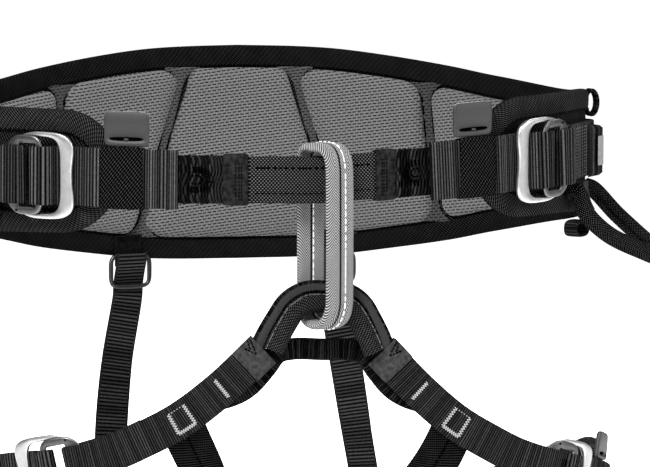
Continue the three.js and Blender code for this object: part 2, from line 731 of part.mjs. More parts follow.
// Lower tie-in loop and bridge
const lowerRow = (path, sign, y) => path.map((row) => hung(sign, row.x, row.y ?? y, row.z));
const bothHalves = (path, y) => [
  ...lowerRow(path, -1, y).slice(1).reverse(), ...lowerRow(path, 1, y),
];
const sleevePoints = smoothed(bothHalves(SLEEVE_PATH, LOWER_Y), 25);
const FORWARD = new THREE.Vector3(0, -1, 0);
const sleeveOut = sleevePoints.map((_, index) => {
  const last = sleevePoints.length - 1;
  const tangent = sleevePoints[Math.min(index + 1, last)].clone()
    .sub(sleevePoints[Math.max(index - 1, 0)]).normalize();
  return tangent.cross(FORWARD).normalize();
});
add("lower_tie_in_sleeve", bar(sleevePoints, SLEEVE_RADIUS, 10), "elastic");
const bandReach = SLEEVE_RADIUS + GAP + BAND_WIDTH / 2;
const upward = Math.sign(sleeveOut[Math.floor(sleeveOut.length / 2)].z);
const bandPoints = sleevePoints.map((point, index) => point.clone()
  .addScaledVector(sleeveOut[index], upward * bandReach));
bandPoints[0].lerp(bandPoints[1], BAND_TRIM);
bandPoints[bandPoints.length - 1].lerp(bandPoints[bandPoints.length - 2], BAND_TRIM);
const bandStations = bandPoints.map((at) => ({ at, out: FORWARD }));
add("lower_tie_in_band", ribbon(bandStations, BAND_WIDTH, BAND_WIDTH, false), "webbing");
const bridgePoints = smoothed(bothHalves(BRIDGE_PATH), 31);
const bridgeStations = bridgePoints.map((at) => ({ at, out: FORWARD }));
add("bridge_strap", ribbon(bridgeStations, BRIDGE_WIDTH, WEB_THICK), "webbing");

// Leg loops
function onThigh(sign, angle, offset, height) {
  const turn = radians(angle);
  const normal = new THREE.Vector3(
    Math.sin(turn) / THIGH.halfWidth, -Math.cos(turn) / THIGH.halfDepth, 0).normalize();
  const x = THIGH.x + THIGH.halfWidth * Math.sin(turn) + normal.x * offset;
  const y = THIGH.y - THIGH.halfDepth * Math.cos(turn) + normal.y * offset;
  return hung(sign, x, y, height);
}

function legPad(sign) {
  const steps = 30;
  const first = LEG_PAD[0].angle;
  const last = LEG_PAD[LEG_PAD.length - 1].angle;
  const section = [
    { up: 1, offset: -0.4 }, { up: 1, offset: 0.4 }, { up: 0.8, offset: 1 }, { up: -0.8, offset: 1 },
    { up: -1, offset: 0.4 }, { up: -1, offset: -0.4 }, { up: -0.8, offset: -1 }, { up: 0.8, offset: -1 },
  ];
  return loft(Array.from({ length: steps + 1 }, (_, step) => {
    const angle = THREE.MathUtils.lerp(first, last, step / steps);
    const middle = lookUp(LEG_PAD, "angle", "middle", angle);
    const half = lookUp(LEG_PAD, "angle", "half", angle);
    return section.map(({ up, offset }) => onThigh(
      sign, angle, PAD_SHIFT + offset * PAD_HALF, middle + up * half));
  }));
}

for (const { name, sign } of SIDES) {
  const { track, total, rowAt } = spaceTrack(sign, LEG_TRACK);
  const inward = (along, offset, height) => track(total - along, offset, height);
  const buckleAt = total - rowAt(LEG_BUCKLE_ROW) - (FRAME.from + FRAME.to) / 2;
  const buckle = (size) => buckleRing(inward, buckleAt, LEG_BASE, LEG_WEB, size);
  add(`leg_buckle_frame_${name}`, buckle(FRAME), "steel");
  add(`leg_buckle_plate_${name}`, buckle(PLATE), "plate");

  const threaded = (table, before, after) => trackStrap(
    inward, foldedRows(table, buckleAt, LEG_BASE, before, after), LEG_WEB, WEB_THICK);
  const low = { ...LEG_RUNS.low, from: -buckleAt };
  const over = { ...LEG_RUNS.over, to: total - buckleAt, rise: -LEG_BASE };
  add(`leg_outer_strap_${name}`, threaded(FOLDED_STRAP, low, LEG_RUNS.tail), "webbing");
  add(`leg_strap_${name}`, threaded(HOLDING_STRAP, LEG_RUNS.under, over), "webbing");

  add(`leg_retainer_${name}`, standingTab(
    (along, offset, height) => inward(buckleAt + along, offset, height), LEG_TAB), "plastic");

  const tapeRows = plainRun({ ...BRIDGE_TAPE, rise: BRIDGE_TAPE.offset, count: 3 }, 0, 0);
  add(`bridge_tape_${name}`,
    trackStrap(track, tapeRows, LEG_WEB + BRIDGE_TAPE.extraWidth, BRIDGE_TAPE.thick), "tape");

  const thigh = spaceTrack(sign, THIGH_PATH);
  const thighRows = plainRun({ from: 0, to: thigh.total, rise: 0, count: 16 }, 0, 0);
  add(`thigh_strap_${name}`, trackStrap(thigh.track, thighRows, THIGH_WEB, WEB_THICK), "webbing");
  add(`leg_pad_${name}`, legPad(sign), "cordura");
}

// Rear straps; x on the belt is turned into arc length along it
function arcAtX(x) {
  return arcAt(THREE.MathUtils.radToDeg(Math.asin(x / WAIST_HALF_WIDTH)));
}

for (const { name, sign } of SIDES) {
  const arc = arcAtX(sign * REAR_X + REAR_DRIFT);
  const rear = (along, offset, height) => onWaist(arc + along, offset, height);
  const onBelt = onWaist(arc, 1, 0).sub(onWaist(arc, 0, 0));
  const anchorStations = [0, 1, 2, 3].map((row) => ({
    at: rear(0, REAR_ANCHOR.offset, THREE.MathUtils.lerp(REAR_ANCHOR.top, REAR_ANCHOR.bottom, row / 3)),
    out: onBelt,
  }));
  add(`rear_anchor_${name}`, ribbon(anchorStations, REAR_ANCHOR.width, REAR_ANCHOR.thick), "webbing");

  const middle = (REAR_BUCKLE.top + REAR_BUCKLE.bottom) / 2;
  const half = (REAR_BUCKLE.top - REAR_BUCKLE.bottom) / 2;
  const clear = REAR_BUCKLE.halfWidth - REAR_BUCKLE.bar;
  const outer = roundedOutline(-REAR_BUCKLE.halfWidth, REAR_BUCKLE.halfWidth, half, 4, 4);
  const inner = roundedOutline(-clear, clear, half - REAR_BUCKLE.bar, 9, 9);
  add(`rear_buckle_${name}`, loft(outer.map((rim, index) => {
    const lip = inner[index];
    return [
      rear(rim.along, REAR_BUCKLE.near, middle + rim.high),
      rear(rim.along, REAR_BUCKLE.far, middle + rim.high),
      rear(lip.along, REAR_BUCKLE.far, middle + lip.high),
      rear(lip.along, REAR_BUCKLE.near, middle + lip.high),
    ];
  }), true), "plate");

  const head = REAR_PATH.map((row) => onWaist(arcAtX(sign * row.x + REAR_DRIFT), row.offset, row.z));
  const foot = REAR_FOOT.map((row) => {
    const point = hung(sign, row.x, row.y, row.z);
    point.x = sign * row.x + REAR_DRIFT;
    return point;
  });
  const sewn = REAR_SEWN.map((row) => {
    const x = row.x + sign * REAR_DRIFT;
    const angle = 180 - THREE.MathUtils.radToDeg(Math.asin((x - THIGH.x) / THIGH.halfWidth));
    return onThigh(sign, angle, PAD_SHIFT + PAD_HALF + GAP + REAR_THICK, row.z);
  });
  const rearPoints = smoothed([...head, ...foot, ...sewn], 28);
  const onPad = onThigh(sign, REAR_PAD_ANGLE, 1, 0).sub(onThigh(sign, REAR_PAD_ANGLE, 0, 0));
  add(`rear_strap_${name}`, ribbon(rearPoints.map((at) => ({
    at, out: onBelt.clone().lerp(onPad, blend(REAR_TWIST.beltZ, REAR_TWIST.padZ, at.z)),
  })), REAR_WEB, REAR_THICK), "webbing");
}

// Gear loops, side tabs and small loops
function smallLoop(sign, size) {
  const steps = 20;
  const arc = sign * arcAt(size.angle);
  const turn = sign * THREE.MathUtils.degToRad(size.turn);
  const middle = onWaist(arc, size.offset, size.z);
  const along = onWaist(arc + 1, 0, 0).sub(onWaist(arc - 1, 0, 0)).setZ(0).normalize();
  const across = along.applyAxisAngle(UP, turn);
  const out = across.clone().applyAxisAngle(UP, -Math.PI / 2);
  const squared = (value) => Math.sign(value) * Math.abs(value) ** (2 / size.power);
  const stations = Array.from({ length: steps }, (_, step) => {
    const angle = (2 * Math.PI * step) / steps;
    const at = middle.clone().addScaledVector(out, size.halfOut * squared(Math.cos(angle)));
    return { at: at.addScaledVector(UP, size.halfHigh * squared(Math.sin(angle))), across };
  });
  return ribbon(stations, SMALL_LOOP.width, SMALL_LOOP.thick, true);
}

for (const { name, sign } of SIDES) {
  const gearPoints = GEAR_PATH.map((row) => onWaist(sign * arcAt(row.angle), row.offset, row.z));
  add(`gear_loop_${name}`, bar(smoothed(gearPoints, 30), GEAR_RADIUS, 8), "cord");

  const tabArcs = [0, 0.1, 0.3, 0.5, 0.7, 0.9, 1];
  add(`side_tab_${name}`, loft(tabArcs.map((step) => {
    const arc = sign * (HALF_GIRTH - THREE.MathUtils.lerp(SIDE_TAB.from, SIDE_TAB.to, step));
    const swell = blend(0, 0.3, Math.min(step, 1 - step));
    const far = THREE.MathUtils.lerp(SIDE_TAB.edge, SIDE_TAB.far, swell);
    return [
      onWaist(arc, SIDE_TAB.near, SIDE_TAB.low),
      onWaist(arc, far, SIDE_TAB.low + SIDE_TAB.bevel),
      onWaist(arc, far, SIDE_TAB.high - SIDE_TAB.bevel),
      onWaist(arc, SIDE_TAB.near, SIDE_TAB.high),
    ];
  })), "webbing");

  add(`small_loop_top_${name}`, smallLoop(sign, TOP_LOOP), "webbing");
  add(`small_loop_bottom_${name}`, smallLoop(sign, BOTTOM_LOOP), "webbing");
}

export default harness;
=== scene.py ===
import math
import random
from bisect import bisect_right
from functools import partial, partialmethod
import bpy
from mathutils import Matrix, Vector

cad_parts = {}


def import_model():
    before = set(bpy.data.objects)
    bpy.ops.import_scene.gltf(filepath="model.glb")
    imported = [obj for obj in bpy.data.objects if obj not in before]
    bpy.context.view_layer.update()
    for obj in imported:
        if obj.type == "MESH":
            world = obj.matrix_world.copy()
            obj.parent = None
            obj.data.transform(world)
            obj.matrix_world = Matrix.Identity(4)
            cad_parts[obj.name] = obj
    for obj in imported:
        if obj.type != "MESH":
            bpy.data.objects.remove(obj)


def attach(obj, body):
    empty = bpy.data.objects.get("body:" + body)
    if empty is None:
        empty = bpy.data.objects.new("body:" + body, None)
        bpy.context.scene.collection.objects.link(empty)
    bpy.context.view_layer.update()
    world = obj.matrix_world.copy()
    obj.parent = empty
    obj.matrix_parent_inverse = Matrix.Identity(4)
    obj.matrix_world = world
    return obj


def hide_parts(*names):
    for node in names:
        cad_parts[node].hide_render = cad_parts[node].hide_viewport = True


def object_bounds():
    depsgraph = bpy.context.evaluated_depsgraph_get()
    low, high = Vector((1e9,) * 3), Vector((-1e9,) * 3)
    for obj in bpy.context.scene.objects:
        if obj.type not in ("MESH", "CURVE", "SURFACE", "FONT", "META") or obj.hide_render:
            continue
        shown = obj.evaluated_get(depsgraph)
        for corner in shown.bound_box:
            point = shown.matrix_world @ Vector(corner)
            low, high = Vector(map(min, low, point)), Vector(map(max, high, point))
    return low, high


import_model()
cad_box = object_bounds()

from types import SimpleNamespace as Sizes

import bpy
import numpy as np
from mathutils import Quaternion, Vector

# Sit harness as worn: cloth, webbing and buckles over the packed solids.
# Sizes are in millimetres until a mesh is made; +Z is up and the front looks toward -Y.
MM = 0.001
UP = Vector((0, 0, 1))
FORWARD = Vector((0, -1, 0))
SIDES = {"left": -1, "right": 1}
TINY = 1e-6


# Numbers and rows of them
def lerp(low, high, share):
    return low + (high - low) * share


def spread(low, high, count):
    return [lerp(low, high, index / (count - 1)) for index in range(count)]


def clamp(value, low=0, high=1):
    return min(max(value, low), high)


def blend(low, high, at):
    """Share of the way between two values, easing in and out."""
    share = clamp((at - low) / (high - low))
    return share * share * (3 - 2 * share)


def squared(value, power):
    """Sine or cosine of a turn, pushed outward to a box with soft corners."""
    return math.copysign(abs(value) ** (2 / power), value)


def turns_round(count):
    """Even turns all the way round, from half a step in."""
    return [2 * math.pi * (index + 0.5) / count for index in range(count)]


def distances(points):
    """How far along a row each of its points is."""
    reach = [0]
    for before, after in zip(points, points[1:]):
        reach.append(reach[-1] + (after - before).length)
    return reach


def find_bay(row, value):
    """Which bay of a rising row holds a value, and the value's share of that bay."""
    bay = clamp(bisect_right(row, value) - 1, 0, len(row) - 2)
    return bay, (value - row[bay]) / max(row[bay + 1] - row[bay], TINY)


def stretch(first, last, offset, count):
    """Even rows of (distance, offset) for a straight stretch of strap."""
    return [(along, offset) for along in spread(first, last, count)]


class Table:
    """Rows of named columns, read by the first one, with smooth values between the rows."""

    def __init__(self, header, rows):
        self.columns = dict(zip(header.split(), zip(*rows)))
        self.keys = [row[0] for row in rows]

    def slope(self, values, place):
        before = max(place - 1, 0)
        after = min(place + 1, len(values) - 1)
        return (values[after] - values[before]) / (self.keys[after] - self.keys[before])

    def at(self, key, name):
        values = self.columns[name]
        left, share = find_bay(self.keys, clamp(key, self.keys[0], self.keys[-1]))
        span = self.keys[left + 1] - self.keys[left]
        rise = values[left + 1] - values[left]
        start = self.slope(values, left) * span - rise
        end = self.slope(values, left + 1) * span - rise
        bend = (1 - share) * start - share * end
        return values[left] + rise * share + share * (1 - share) * bend


# Waist and how it is worn
WAIST_HALF_WIDTH = 182
WAIST_HALF_DEPTH = 125
FRONT_TILT = Sizes(slope=0.02, none_at_y=20, full_at_y=-60)
FRONT_DRIFT = Sizes(most=4.5, none=20, full=80, fading=160, gone=330)
LOWER_DRIFT = Sizes(most=7, reach=200, none_at_z=-215, full_at_z=-150)
LEG_TILT = -0.038
REAR_DRIFT = -6
STRAP_MIDDLE = 0.7
STRAP_SLOPE = 0.034

# Belt walls
SHELL_HALF = 2.5
SHELL_TUCK = 1.5
SHELL_SINK = Sizes(depth=0.9, power=10)
BINDING_WIDTH = 12.5
BINDING_HALF_SECTION = [
    (12.5, 2.7), (12.4, 3.5), (11.7, 4.0), (10.6, 3.75), (9.6, 4.05),
    (6, 4.15), (3, 3.95), (1.2, 3.2), (0.3, 1.8),
]
BINDING_SEAM = 2
BINDING_TONES = Sizes(outside=1.2, inside=0.45)
CHANNEL_SHOWN = 7
PANEL_BASE = 2.2
PANEL_CROWN = 4.2
PANEL_CORNER = 10
PANEL_MARGIN = 1.5
PANEL_LIP = 0.35
PANEL_ROLL = 3
PANEL_SWELL = 9
PANEL_ENDS = [0, 0.4, 1, 1.8, 2.8, 4, 5.5, 7.5, PANEL_CORNER]
PANEL_EDGES = [0, 0.01, 0.03, 0.06, 0.1, 0.16]
CHANNEL = Sizes(play=0.2, rise=1.1, dip=0.5, corner=0.98, thread_in=0.5, thread_rise=0.75)
GAP = 0.3
LINING_FACE = SHELL_HALF + GAP
NOSE_LENGTH = 33.5
BELT_EDGE = Table("angle top bottom", [
    (0, 66.5, -67), (12, 65.6, -66.5), (20, 64, -65), (30, 60.2, -61), (44, 54, -54.5),
    (56, 48.5, -47.5), (77, 42.5, -37.5), (100, 42, -31), (120, 41.5, -27.5), (136, 40.5, -26.5),
])

# Widths and thicknesses of webbing
WEB_THICK = 2
WAIST_WEB = 31.5
LEG_WEB = 20
TIE_THICK = 3.2
LOOP_WEB = 25
LOOP_THICK = 2.2
BELAY_THICK = 4.4
BAND_WIDTH = 6.6
REAR_THICK = 1.6

# Straps by piece: the solid each stands for, look, width, thickness, and the seed and kind of its ribs
STRAPS = {
    "front_webbing": ("front_strap", "webbing", WAIST_WEB, WEB_THICK, 11, "waist"),
    "belt_webbing": ("waist_webbing", "webbing", WAIST_WEB, WEB_THICK, 21, "waist"),
    "tie_webbing": ("tie_in_webbing", "dark_webbing", 26, TIE_THICK, 31, "tie"),
    "tie_loop": ("upper_tie_in_loop", "tie", LOOP_WEB, LOOP_THICK),
    "belay_webbing": ("belay_loop", "belay", 17, BELAY_THICK),
    "tie_band": ("lower_tie_in_band", "band", BAND_WIDTH, BAND_WIDTH, 42, "band"),
    "bridge_webbing": ("bridge_strap", "bridge", 12, WEB_THICK, 43, "bridge"),
    "leg_outer_webbing": ("leg_outer_strap", "webbing", LEG_WEB, WEB_THICK, 51, "waist"),
    "leg_webbing": ("leg_strap", "leg_webbing", LEG_WEB, WEB_THICK, 61, "leg"),
    "bridge_cover": ("bridge_tape", "arch_tape", LEG_WEB + 0.6, 1.4),
    "thigh_webbing": ("thigh_strap", "thigh", 24, WEB_THICK),
    "rear_patch": ("rear_anchor", "anchor", 18, REAR_THICK),
    "rear_webbing": ("rear_strap", "rear", 20, REAR_THICK, 81, "rear"),
    "cord_loop_top": ("small_loop_top", "dark_webbing", 9, 2.2, 91, "loop"),
    "cord_loop_bottom": ("small_loop_bottom", "dark_webbing", 9, 2.2, 91, "loop"),
    "pale_patch": (None, "patch", 17, 0.6),
    "gear_tongue": (None, "arch_tape", 9, 1.2),
}
RIBS = {
    "waist": dict(pitch=1.6, depth=0.36, uneven=0.4, least=0.25),
    "tie": dict(pitch=1.7, depth=0.6),
    "sleeve": dict(pitch=1.15, depth=0.3, uneven=0.2, least=0.3),
    "band": dict(pitch=1.4, depth=0.3),
    "bridge": dict(pitch=1.4, depth=0.4),
    "leg": dict(pitch=1.3, depth=0.3, uneven=0.15, least=0.45),
    "rear": dict(pitch=2.2, depth=0.5, uneven=0.12, least=0.5),
    "loop": dict(pitch=1.3, depth=0.2),
    "side": dict(pitch=1.8, depth=0.3),
}

# Threads by kind: look, slot, radius, and for running stitches their length and gap
THREADS = {
    "binding": ("tape_thread", "binding", 0.3, 2.6, 0.9),
    "channel": ("dark_thread", "lining", 0.5, 2.4, 0.4),
    "belt": ("seam_thread", "webbing", 0.32, 1.0, 0.8),
    "ring": ("dark_thread", "webbing", 0.45, 1.6, 0.5),
    "tie_tape": ("tape_thread", "tape", 0.28, 1.1, 0.8),
    "tie_loop": ("dark_thread", "webbing", 0.35, 2.4, 0.8),
    "belay": ("thread", "belay", 0.38, 3.2, 0.9),
    "sleeve": ("seam_thread", "webbing", 0.3, 2.2, 0.3),
    "bar": ("bar_thread", "webbing", 0.28, 0.8, 0.9),
    "dark_bar": ("tape_thread", "webbing", 0.28),
    "mark": ("dark_thread", "tape", 0.4, 1.6, 0.3),
    "thigh": ("dark_thread", "webbing", 0.45, 2.2, 0.6),
    "rear": ("tape_thread", "webbing", 0.28, 1, 0.7),
    # Hole: a dark capsule painted as the shade of a hole in a buckle plate.
    "hole": ("dark_thread", "plate", 0.6),
    "knob": ("plastic", "plastic", 0.75),
}

# Webbing through a buckle, as (distance past the frame's near edge, rise above the base)
FOLDED_STRAP = [
    (1, 0), (12, 0), (15.5, 2.4), (19, 5.1), (22, 5.4), (23.4, 5.5), (24.7, 6.4), (25.2, 7.9),
    (24.7, 9.4), (23.4, 10.3), (20, 10.5), (18.2, 10.3), (16.4, 9.1), (14, 5.8), (11, 2.4), (1, 2.3),
]
HOLDING_STRAP = [
    (51, -1.5), (43, -0.6), (38, 1.5), (35, 1.9), (32.9, 2.2), (31.7, 4.2), (31.4, 6.4), (31.7, 8.6),
    (32.7, 10.4), (35, 10.8), (41, 10.7), (45.2, 8.9), (49, 4.9), (55, 2), (63, 0.9),
]
FRONT_WEBBING = stretch(-36.5, -7, 1.3, 3) + FOLDED_STRAP + stretch(-7, -52, 3.6, 4)
BELT_WEBBING = stretch(97, 62, -1.5, 4) + HOLDING_STRAP + stretch(73, 143, 0.9, 7)
LEG_OUTER_END = FOLDED_STRAP + stretch(-5, -42, 2.3, 4)
LEG_START = stretch(76, 58, -1.5, 3) + HOLDING_STRAP
WAIST_BUCKLE_AT = 119
WAIST_BASE = 5.4
LEG_BASE = -0.9
LEG_BUCKLE_ROW = 5
FRAME = Sizes(
    start=0, end=42, window=(9.8, 37.6), low=3.7, high=6.7,
    room=4.9, border=2.8, near_power=3.6, far_power=2.4, window_power=5, waist=3.4)
PLATE = Sizes(
    start=18.3, end=42.4, window=(22.6, 33), low=7, high=8.8,
    room=1.5, border=4.3, near_power=4.5, far_power=2.4, window_power=14, waist=0)
BUCKLE_BEVEL = 0.9
PLATE_HOLE = Sizes(past=1, beside=3.6, half=0.5, sunk=0.3)

# Leg webbing and thigh strap, right side, as (x, y, z, turn); the face looks that turn from straight ahead
LEG_TRACK = [
    (32.3, -121.9, -91.3, -4), (54, -123.5, -112.5, -2), (76, -124, -130, 2), (96, -124.5, -141, 7),
    (112, -123, -148.5, 14), (141, -112, -158, 30), (164, -93.5, -164, 46), (183, -63, -173, 64),
    (192.7, -24, -185, 84), (193, 3, -194, 92),
]
THIGH_PATH = [
    (77, -121.3, -127, 2), (71, -120, -142, -4), (63, -116, -158, -14), (48, -101, -186, -34),
    (33, -74, -214, -58), (22, -42, -232, -78), (13.6, -3.4, -240, -88),
]
THIGH = Sizes(x=101, y=-15, half_width=88, half_depth=104)
PAD_HALF = 3.8
PAD_SHIFT = -3.6
LEG_PAD = Table("angle middle half", [
    (58, -169, 13), (66, -173, 20), (90, -185, 30), (120, -212, 38), (150, -232, 42),
    (180, -242, 43), (215, -246, 40), (245, -244, 32), (262, -241, 16),
])


# Waist line: an ellipse measured by arc length from the middle of the back
def on_ellipse(angle, half_width, half_depth, offset):
    """Point at a turn from +Y, moved outward."""
    sine = math.sin(angle)
    cosine = math.cos(angle)
    normal = Vector((sine / half_width, cosine / half_depth, 0)).normalized()
    return Vector((half_width * sine, half_depth * cosine, 0)) + normal * offset


def waist_arcs(step=0.5):
    rows = [(0.0, 0.0)]
    while rows[-1][0] < 180:
        angle, arc = rows[-1]
        middle = math.radians(angle + step / 2)
        speed = math.hypot(WAIST_HALF_WIDTH * math.cos(middle), WAIST_HALF_DEPTH * math.sin(middle))
        rows.append((angle + step, arc + speed * math.radians(step)))
    return rows


ARC_ROWS = waist_arcs()
ANGLE_TO_ARC = Table("angle arc", ARC_ROWS)
ARC_TO_ANGLE = Table("arc angle", [(arc, angle) for angle, arc in ARC_ROWS])
HALF_GIRTH = ARC_ROWS[-1][1]


def arc_at(angle):
    return math.copysign(ANGLE_TO_ARC.at(abs(angle), "arc"), angle)


def angle_at(arc):
    return math.copysign(ARC_TO_ANGLE.at(abs(arc), "angle"), arc)


def on_waist(arc, offset, height):
    """Point by arc length from the back; the front is worn a little round to one side and leans."""
    from_front = HALF_GIRTH - abs(arc)
    rising = blend(FRONT_DRIFT.none, FRONT_DRIFT.full, from_front)
    fading = blend(FRONT_DRIFT.gone, FRONT_DRIFT.fading, from_front)
    angle = math.radians(angle_at(arc + FRONT_DRIFT.most * rising * fading))
    point = on_ellipse(angle, WAIST_HALF_WIDTH, WAIST_HALF_DEPTH, offset)
    lean = blend(FRONT_TILT.none_at_y, FRONT_TILT.full_at_y, point.y)
    point.z = height + FRONT_TILT.slope * point.x * lean
    return point


def on_front(sign, front, offset, height):
    """The same from the middle of the front, with heights from the middle of the strap."""
    side = -sign if front < 0 else sign
    middle = STRAP_MIDDLE + STRAP_SLOPE * abs(front)
    return on_waist(side * (HALF_GIRTH - abs(front)), offset, middle + height)


def hung(sign, x, y, z):
    """Lower pieces hang a little to one side and lean."""
    across = sign * x
    reach = 1 - x / LOWER_DRIFT.reach
    drift = LOWER_DRIFT.most * reach * blend(LOWER_DRIFT.none_at_z, LOWER_DRIFT.full_at_z, z)
    return Vector((across + drift, y, z + LEG_TILT * across))


def on_thigh(sign, angle, offset, height):
    point = on_ellipse(math.radians(angle), THIGH.half_width, THIGH.half_depth, offset)
    return hung(sign, THIGH.x + point.x, THIGH.y - point.y, height)


def face_way(track, along, offset=0, height=0):
    """The way the face of a track looks at one place."""
    return (track(along, offset + 1, height) - track(along, offset, height)).normalized()


# Curves
def smooth_curve(points, closed=False, fine=12):
    """Close points on a smooth curve through the given ones."""
    count = len(points)
    dense = []
    for bay in range(count if closed else count - 1):
        here = points[bay]
        there = points[(bay + 1) % count]
        before = points[bay - 1] if closed or bay else here * 2 - there
        after = points[(bay + 2) % count] if closed or bay + 2 < count else there * 2 - here
        row = (before, here, there, after)
        first, middle, last = (max((b - a).length, TINY) ** 0.5 for a, b in zip(row, row[1:]))
        rise = (here - before) / first - (there - before) / (first + middle) + (there - here) / middle
        fall = (there - here) / middle - (after - here) / (middle + last) + (after - there) / last
        square = (there - here) * 3 - (rise * 2 + fall) * middle
        cube = (here - there) * 2 + (rise + fall) * middle
        for share in (step / fine for step in range(fine)):
            dense.append(here + (rise * middle + (square + cube * share) * share) * share)
    return dense if closed else dense + [points[-1].copy()]


def even_points(points, step, closed=False):
    """Points at even distances along a row, each with its place in the row and its distance."""
    row = points + points[:1] if closed else points
    reach = distances(row)
    places = spread(0, reach[-1], max(3, round(reach[-1] / step)) + 1)
    found = []
    for along in places[:-1] if closed else places:
        bay, share = find_bay(reach, along)
        found.append((row[bay].lerp(row[bay + 1], share), bay + share, along))
    return found, reach[-1]


class Line:
    """Middle line of a strap: even points, the way across the strap and the way its face looks."""

    def __init__(self, points, ways, step=0.5, closed=False, facing=False):
        fine = 12
        ways = [ways] * len(points) if isinstance(ways, Vector) else ways
        places, self.length = even_points(smooth_curve(points, closed, fine), step, closed)
        self.closed = closed
        self.at = [place[0] for place in places]
        self.along = [place[2] for place in places]
        self.across = []
        self.out = []
        for index, (at, place, _) in enumerate(places):
            before = self.at[index - 1] if closed or index else at
            after = self.at[(index + 1) % len(places)] if closed or index + 1 < len(places) else at
            tangent = (after - before).normalized()
            near = int(place / fine) % len(ways)
            far = (near + 1) % len(ways) if closed else min(near + 1, len(ways) - 1)
            way = ways[near].lerp(ways[far], place / fine % 1)
            across = way.cross(tangent).normalized() if facing else way
            self.out.append(tangent.cross(across).normalized())
            self.across.append(self.out[-1].cross(tangent).normalized())


def track_line(track, rows, step=0.35):
    """Line through rows of (distance, offset) on a track."""
    ways = [(track(*row, 1) - track(*row, -1)).normalized() for row in rows]
    return Line([track(*row, 0) for row in rows], ways, step)


def space_track(sign, rows):
    """Track along a curve in space, with its length and the distances of its rows."""
    fine = 24
    dense = smooth_curve([hung(sign, *at) for *at, _ in rows], fine=fine)
    reach = distances(dense)
    turns = Table("length turn", [(reach[index * fine], row[-1]) for index, row in enumerate(rows)])

    def track(along, offset, height):
        bay, share = find_bay(reach, along)
        tangent = (dense[min(bay + 2, len(dense) - 1)] - dense[max(bay - 1, 0)]).normalized()
        turn = math.radians(turns.at(along, "turn"))
        facing = Vector((sign * math.sin(turn), -math.cos(turn), 0))
        across = facing.cross(tangent).normalized() * sign
        out = tangent.cross(across).normalized() * sign
        return dense[bay].lerp(dense[bay + 1], share) + out * offset + across * height

    return track, reach[-1], turns.keys


def shifted(track, along, offset=0, height=0):
    """The same track measured from another place."""
    return lambda more, out, up: track(along + more, offset + out, height + up)


# Materials
def grey(value):
    """Linear grey from a picture's 0 to 255 grey."""
    share = value / 255
    linear = share / 12.92 if share <= 0.04045 else ((share + 0.055) / 1.055) ** 2.4
    return (linear, linear, linear, 1)


class Wire:
    """A value inside a material; sums and products of wires make the nodes that work them out."""

    def __init__(self, tree, socket):
        self.tree = tree
        self.socket = socket

    def to(self, socket):
        self.tree.links.new(self.socket, socket)

    def node(self, operation, other=None):
        node = self.tree.nodes.new("ShaderNodeMath")
        node.operation = operation
        self.to(node.inputs[0])
        if isinstance(other, Wire):
            other.to(node.inputs[1])
        elif other is not None:
            node.inputs[1].default_value = other
        return Wire(self.tree, node.outputs[0])

    __add__ = partialmethod(node, "ADD")
    __sub__ = partialmethod(node, "SUBTRACT")
    __mul__ = partialmethod(node, "MULTIPLY")
    __truediv__ = partialmethod(node, "DIVIDE")
    __pow__ = partialmethod(node, "POWER")

    def off_middle(self):
        """How far a repeating value is from the middle of its repeat."""
        return (self.node("FRACT") - 0.5).node("ABSOLUTE")

    def wave(self, pitch, shift=0.0):
        return (self * (2 * math.pi / pitch) + shift).node("SINE") * 0.5 + 0.5

    def ramp(self, low, high):
        node = self.tree.nodes.new("ShaderNodeMapRange")
        node.interpolation_type = "SMOOTHSTEP"
        self.to(node.inputs["Value"])
        node.inputs["From Min"].default_value = low
        node.inputs["From Max"].default_value = high
        return Wire(self.tree, node.outputs["Result"])

    def toward(self, other, share):
        return (other - self) * share + self


class Shader:
    """A material's nodes, with what cloths share: the place along and across the strap, noise and tone."""

    def __init__(self, name, roughness, metallic=0.0, sheen=0.0, specular=0.0):
        self.material = bpy.data.materials.new(name)
        self.material.use_nodes = True
        self.tree = self.material.node_tree
        self.inputs = self.tree.nodes["Principled BSDF"].inputs
        self.inputs["Roughness"].default_value = roughness
        self.inputs["Metallic"].default_value = metallic
        self.inputs["Sheen Weight"].default_value = sheen
        self.inputs["Specular IOR Level"].default_value = specular
        coordinates = self.tree.nodes.new("ShaderNodeUVMap")
        coordinates.uv_map = "cloth"
        split = self.tree.nodes.new("ShaderNodeSeparateXYZ")
        self.cloth = Wire(self.tree, coordinates.outputs[0])
        self.cloth.to(split.inputs[0])
        self.along = Wire(self.tree, split.outputs["X"])
        self.side = Wire(self.tree, split.outputs["Y"])

    def slant(self, lean):
        return self.side * lean + self.along

    def noise(self, scale, detail):
        """Uneven value over the cloth; scale is in spots per millimetre."""
        node = self.tree.nodes.new("ShaderNodeTexNoise")
        self.cloth.to(node.inputs["Vector"])
        node.inputs["Scale"].default_value = scale
        node.inputs["Detail"].default_value = detail
        return Wire(self.tree, node.outputs[0])

    # Tone attribute: on ribs and plate rims it carries painted highlight and painted shade.
    def tone(self):
        node = self.tree.nodes.new("ShaderNodeAttribute")
        node.attribute_name = "tone"
        return Wire(self.tree, node.outputs["Fac"])

    def finish(self, share, dark, light, height, depth):
        """Colours the material between two greys by a share, gives it relief and hands it over."""
        mix = self.tree.nodes.new("ShaderNodeMix")
        mix.data_type = "RGBA"
        share.to(mix.inputs["Factor"])
        for socket in mix.inputs:
            if socket.type == "RGBA":
                socket.default_value = grey(dark if socket.name == "A" else light)
        result = [socket for socket in mix.outputs if socket.type == "RGBA"][0]
        self.tree.links.new(result, self.inputs["Base Color"])
        bump = self.tree.nodes.new("ShaderNodeBump")
        bump.inputs["Strength"].default_value = 1.0
        bump.inputs["Distance"].default_value = depth * MM
        height.to(bump.inputs["Height"])
        self.tree.links.new(bump.outputs["Normal"], self.inputs["Normal"])
        return self.material


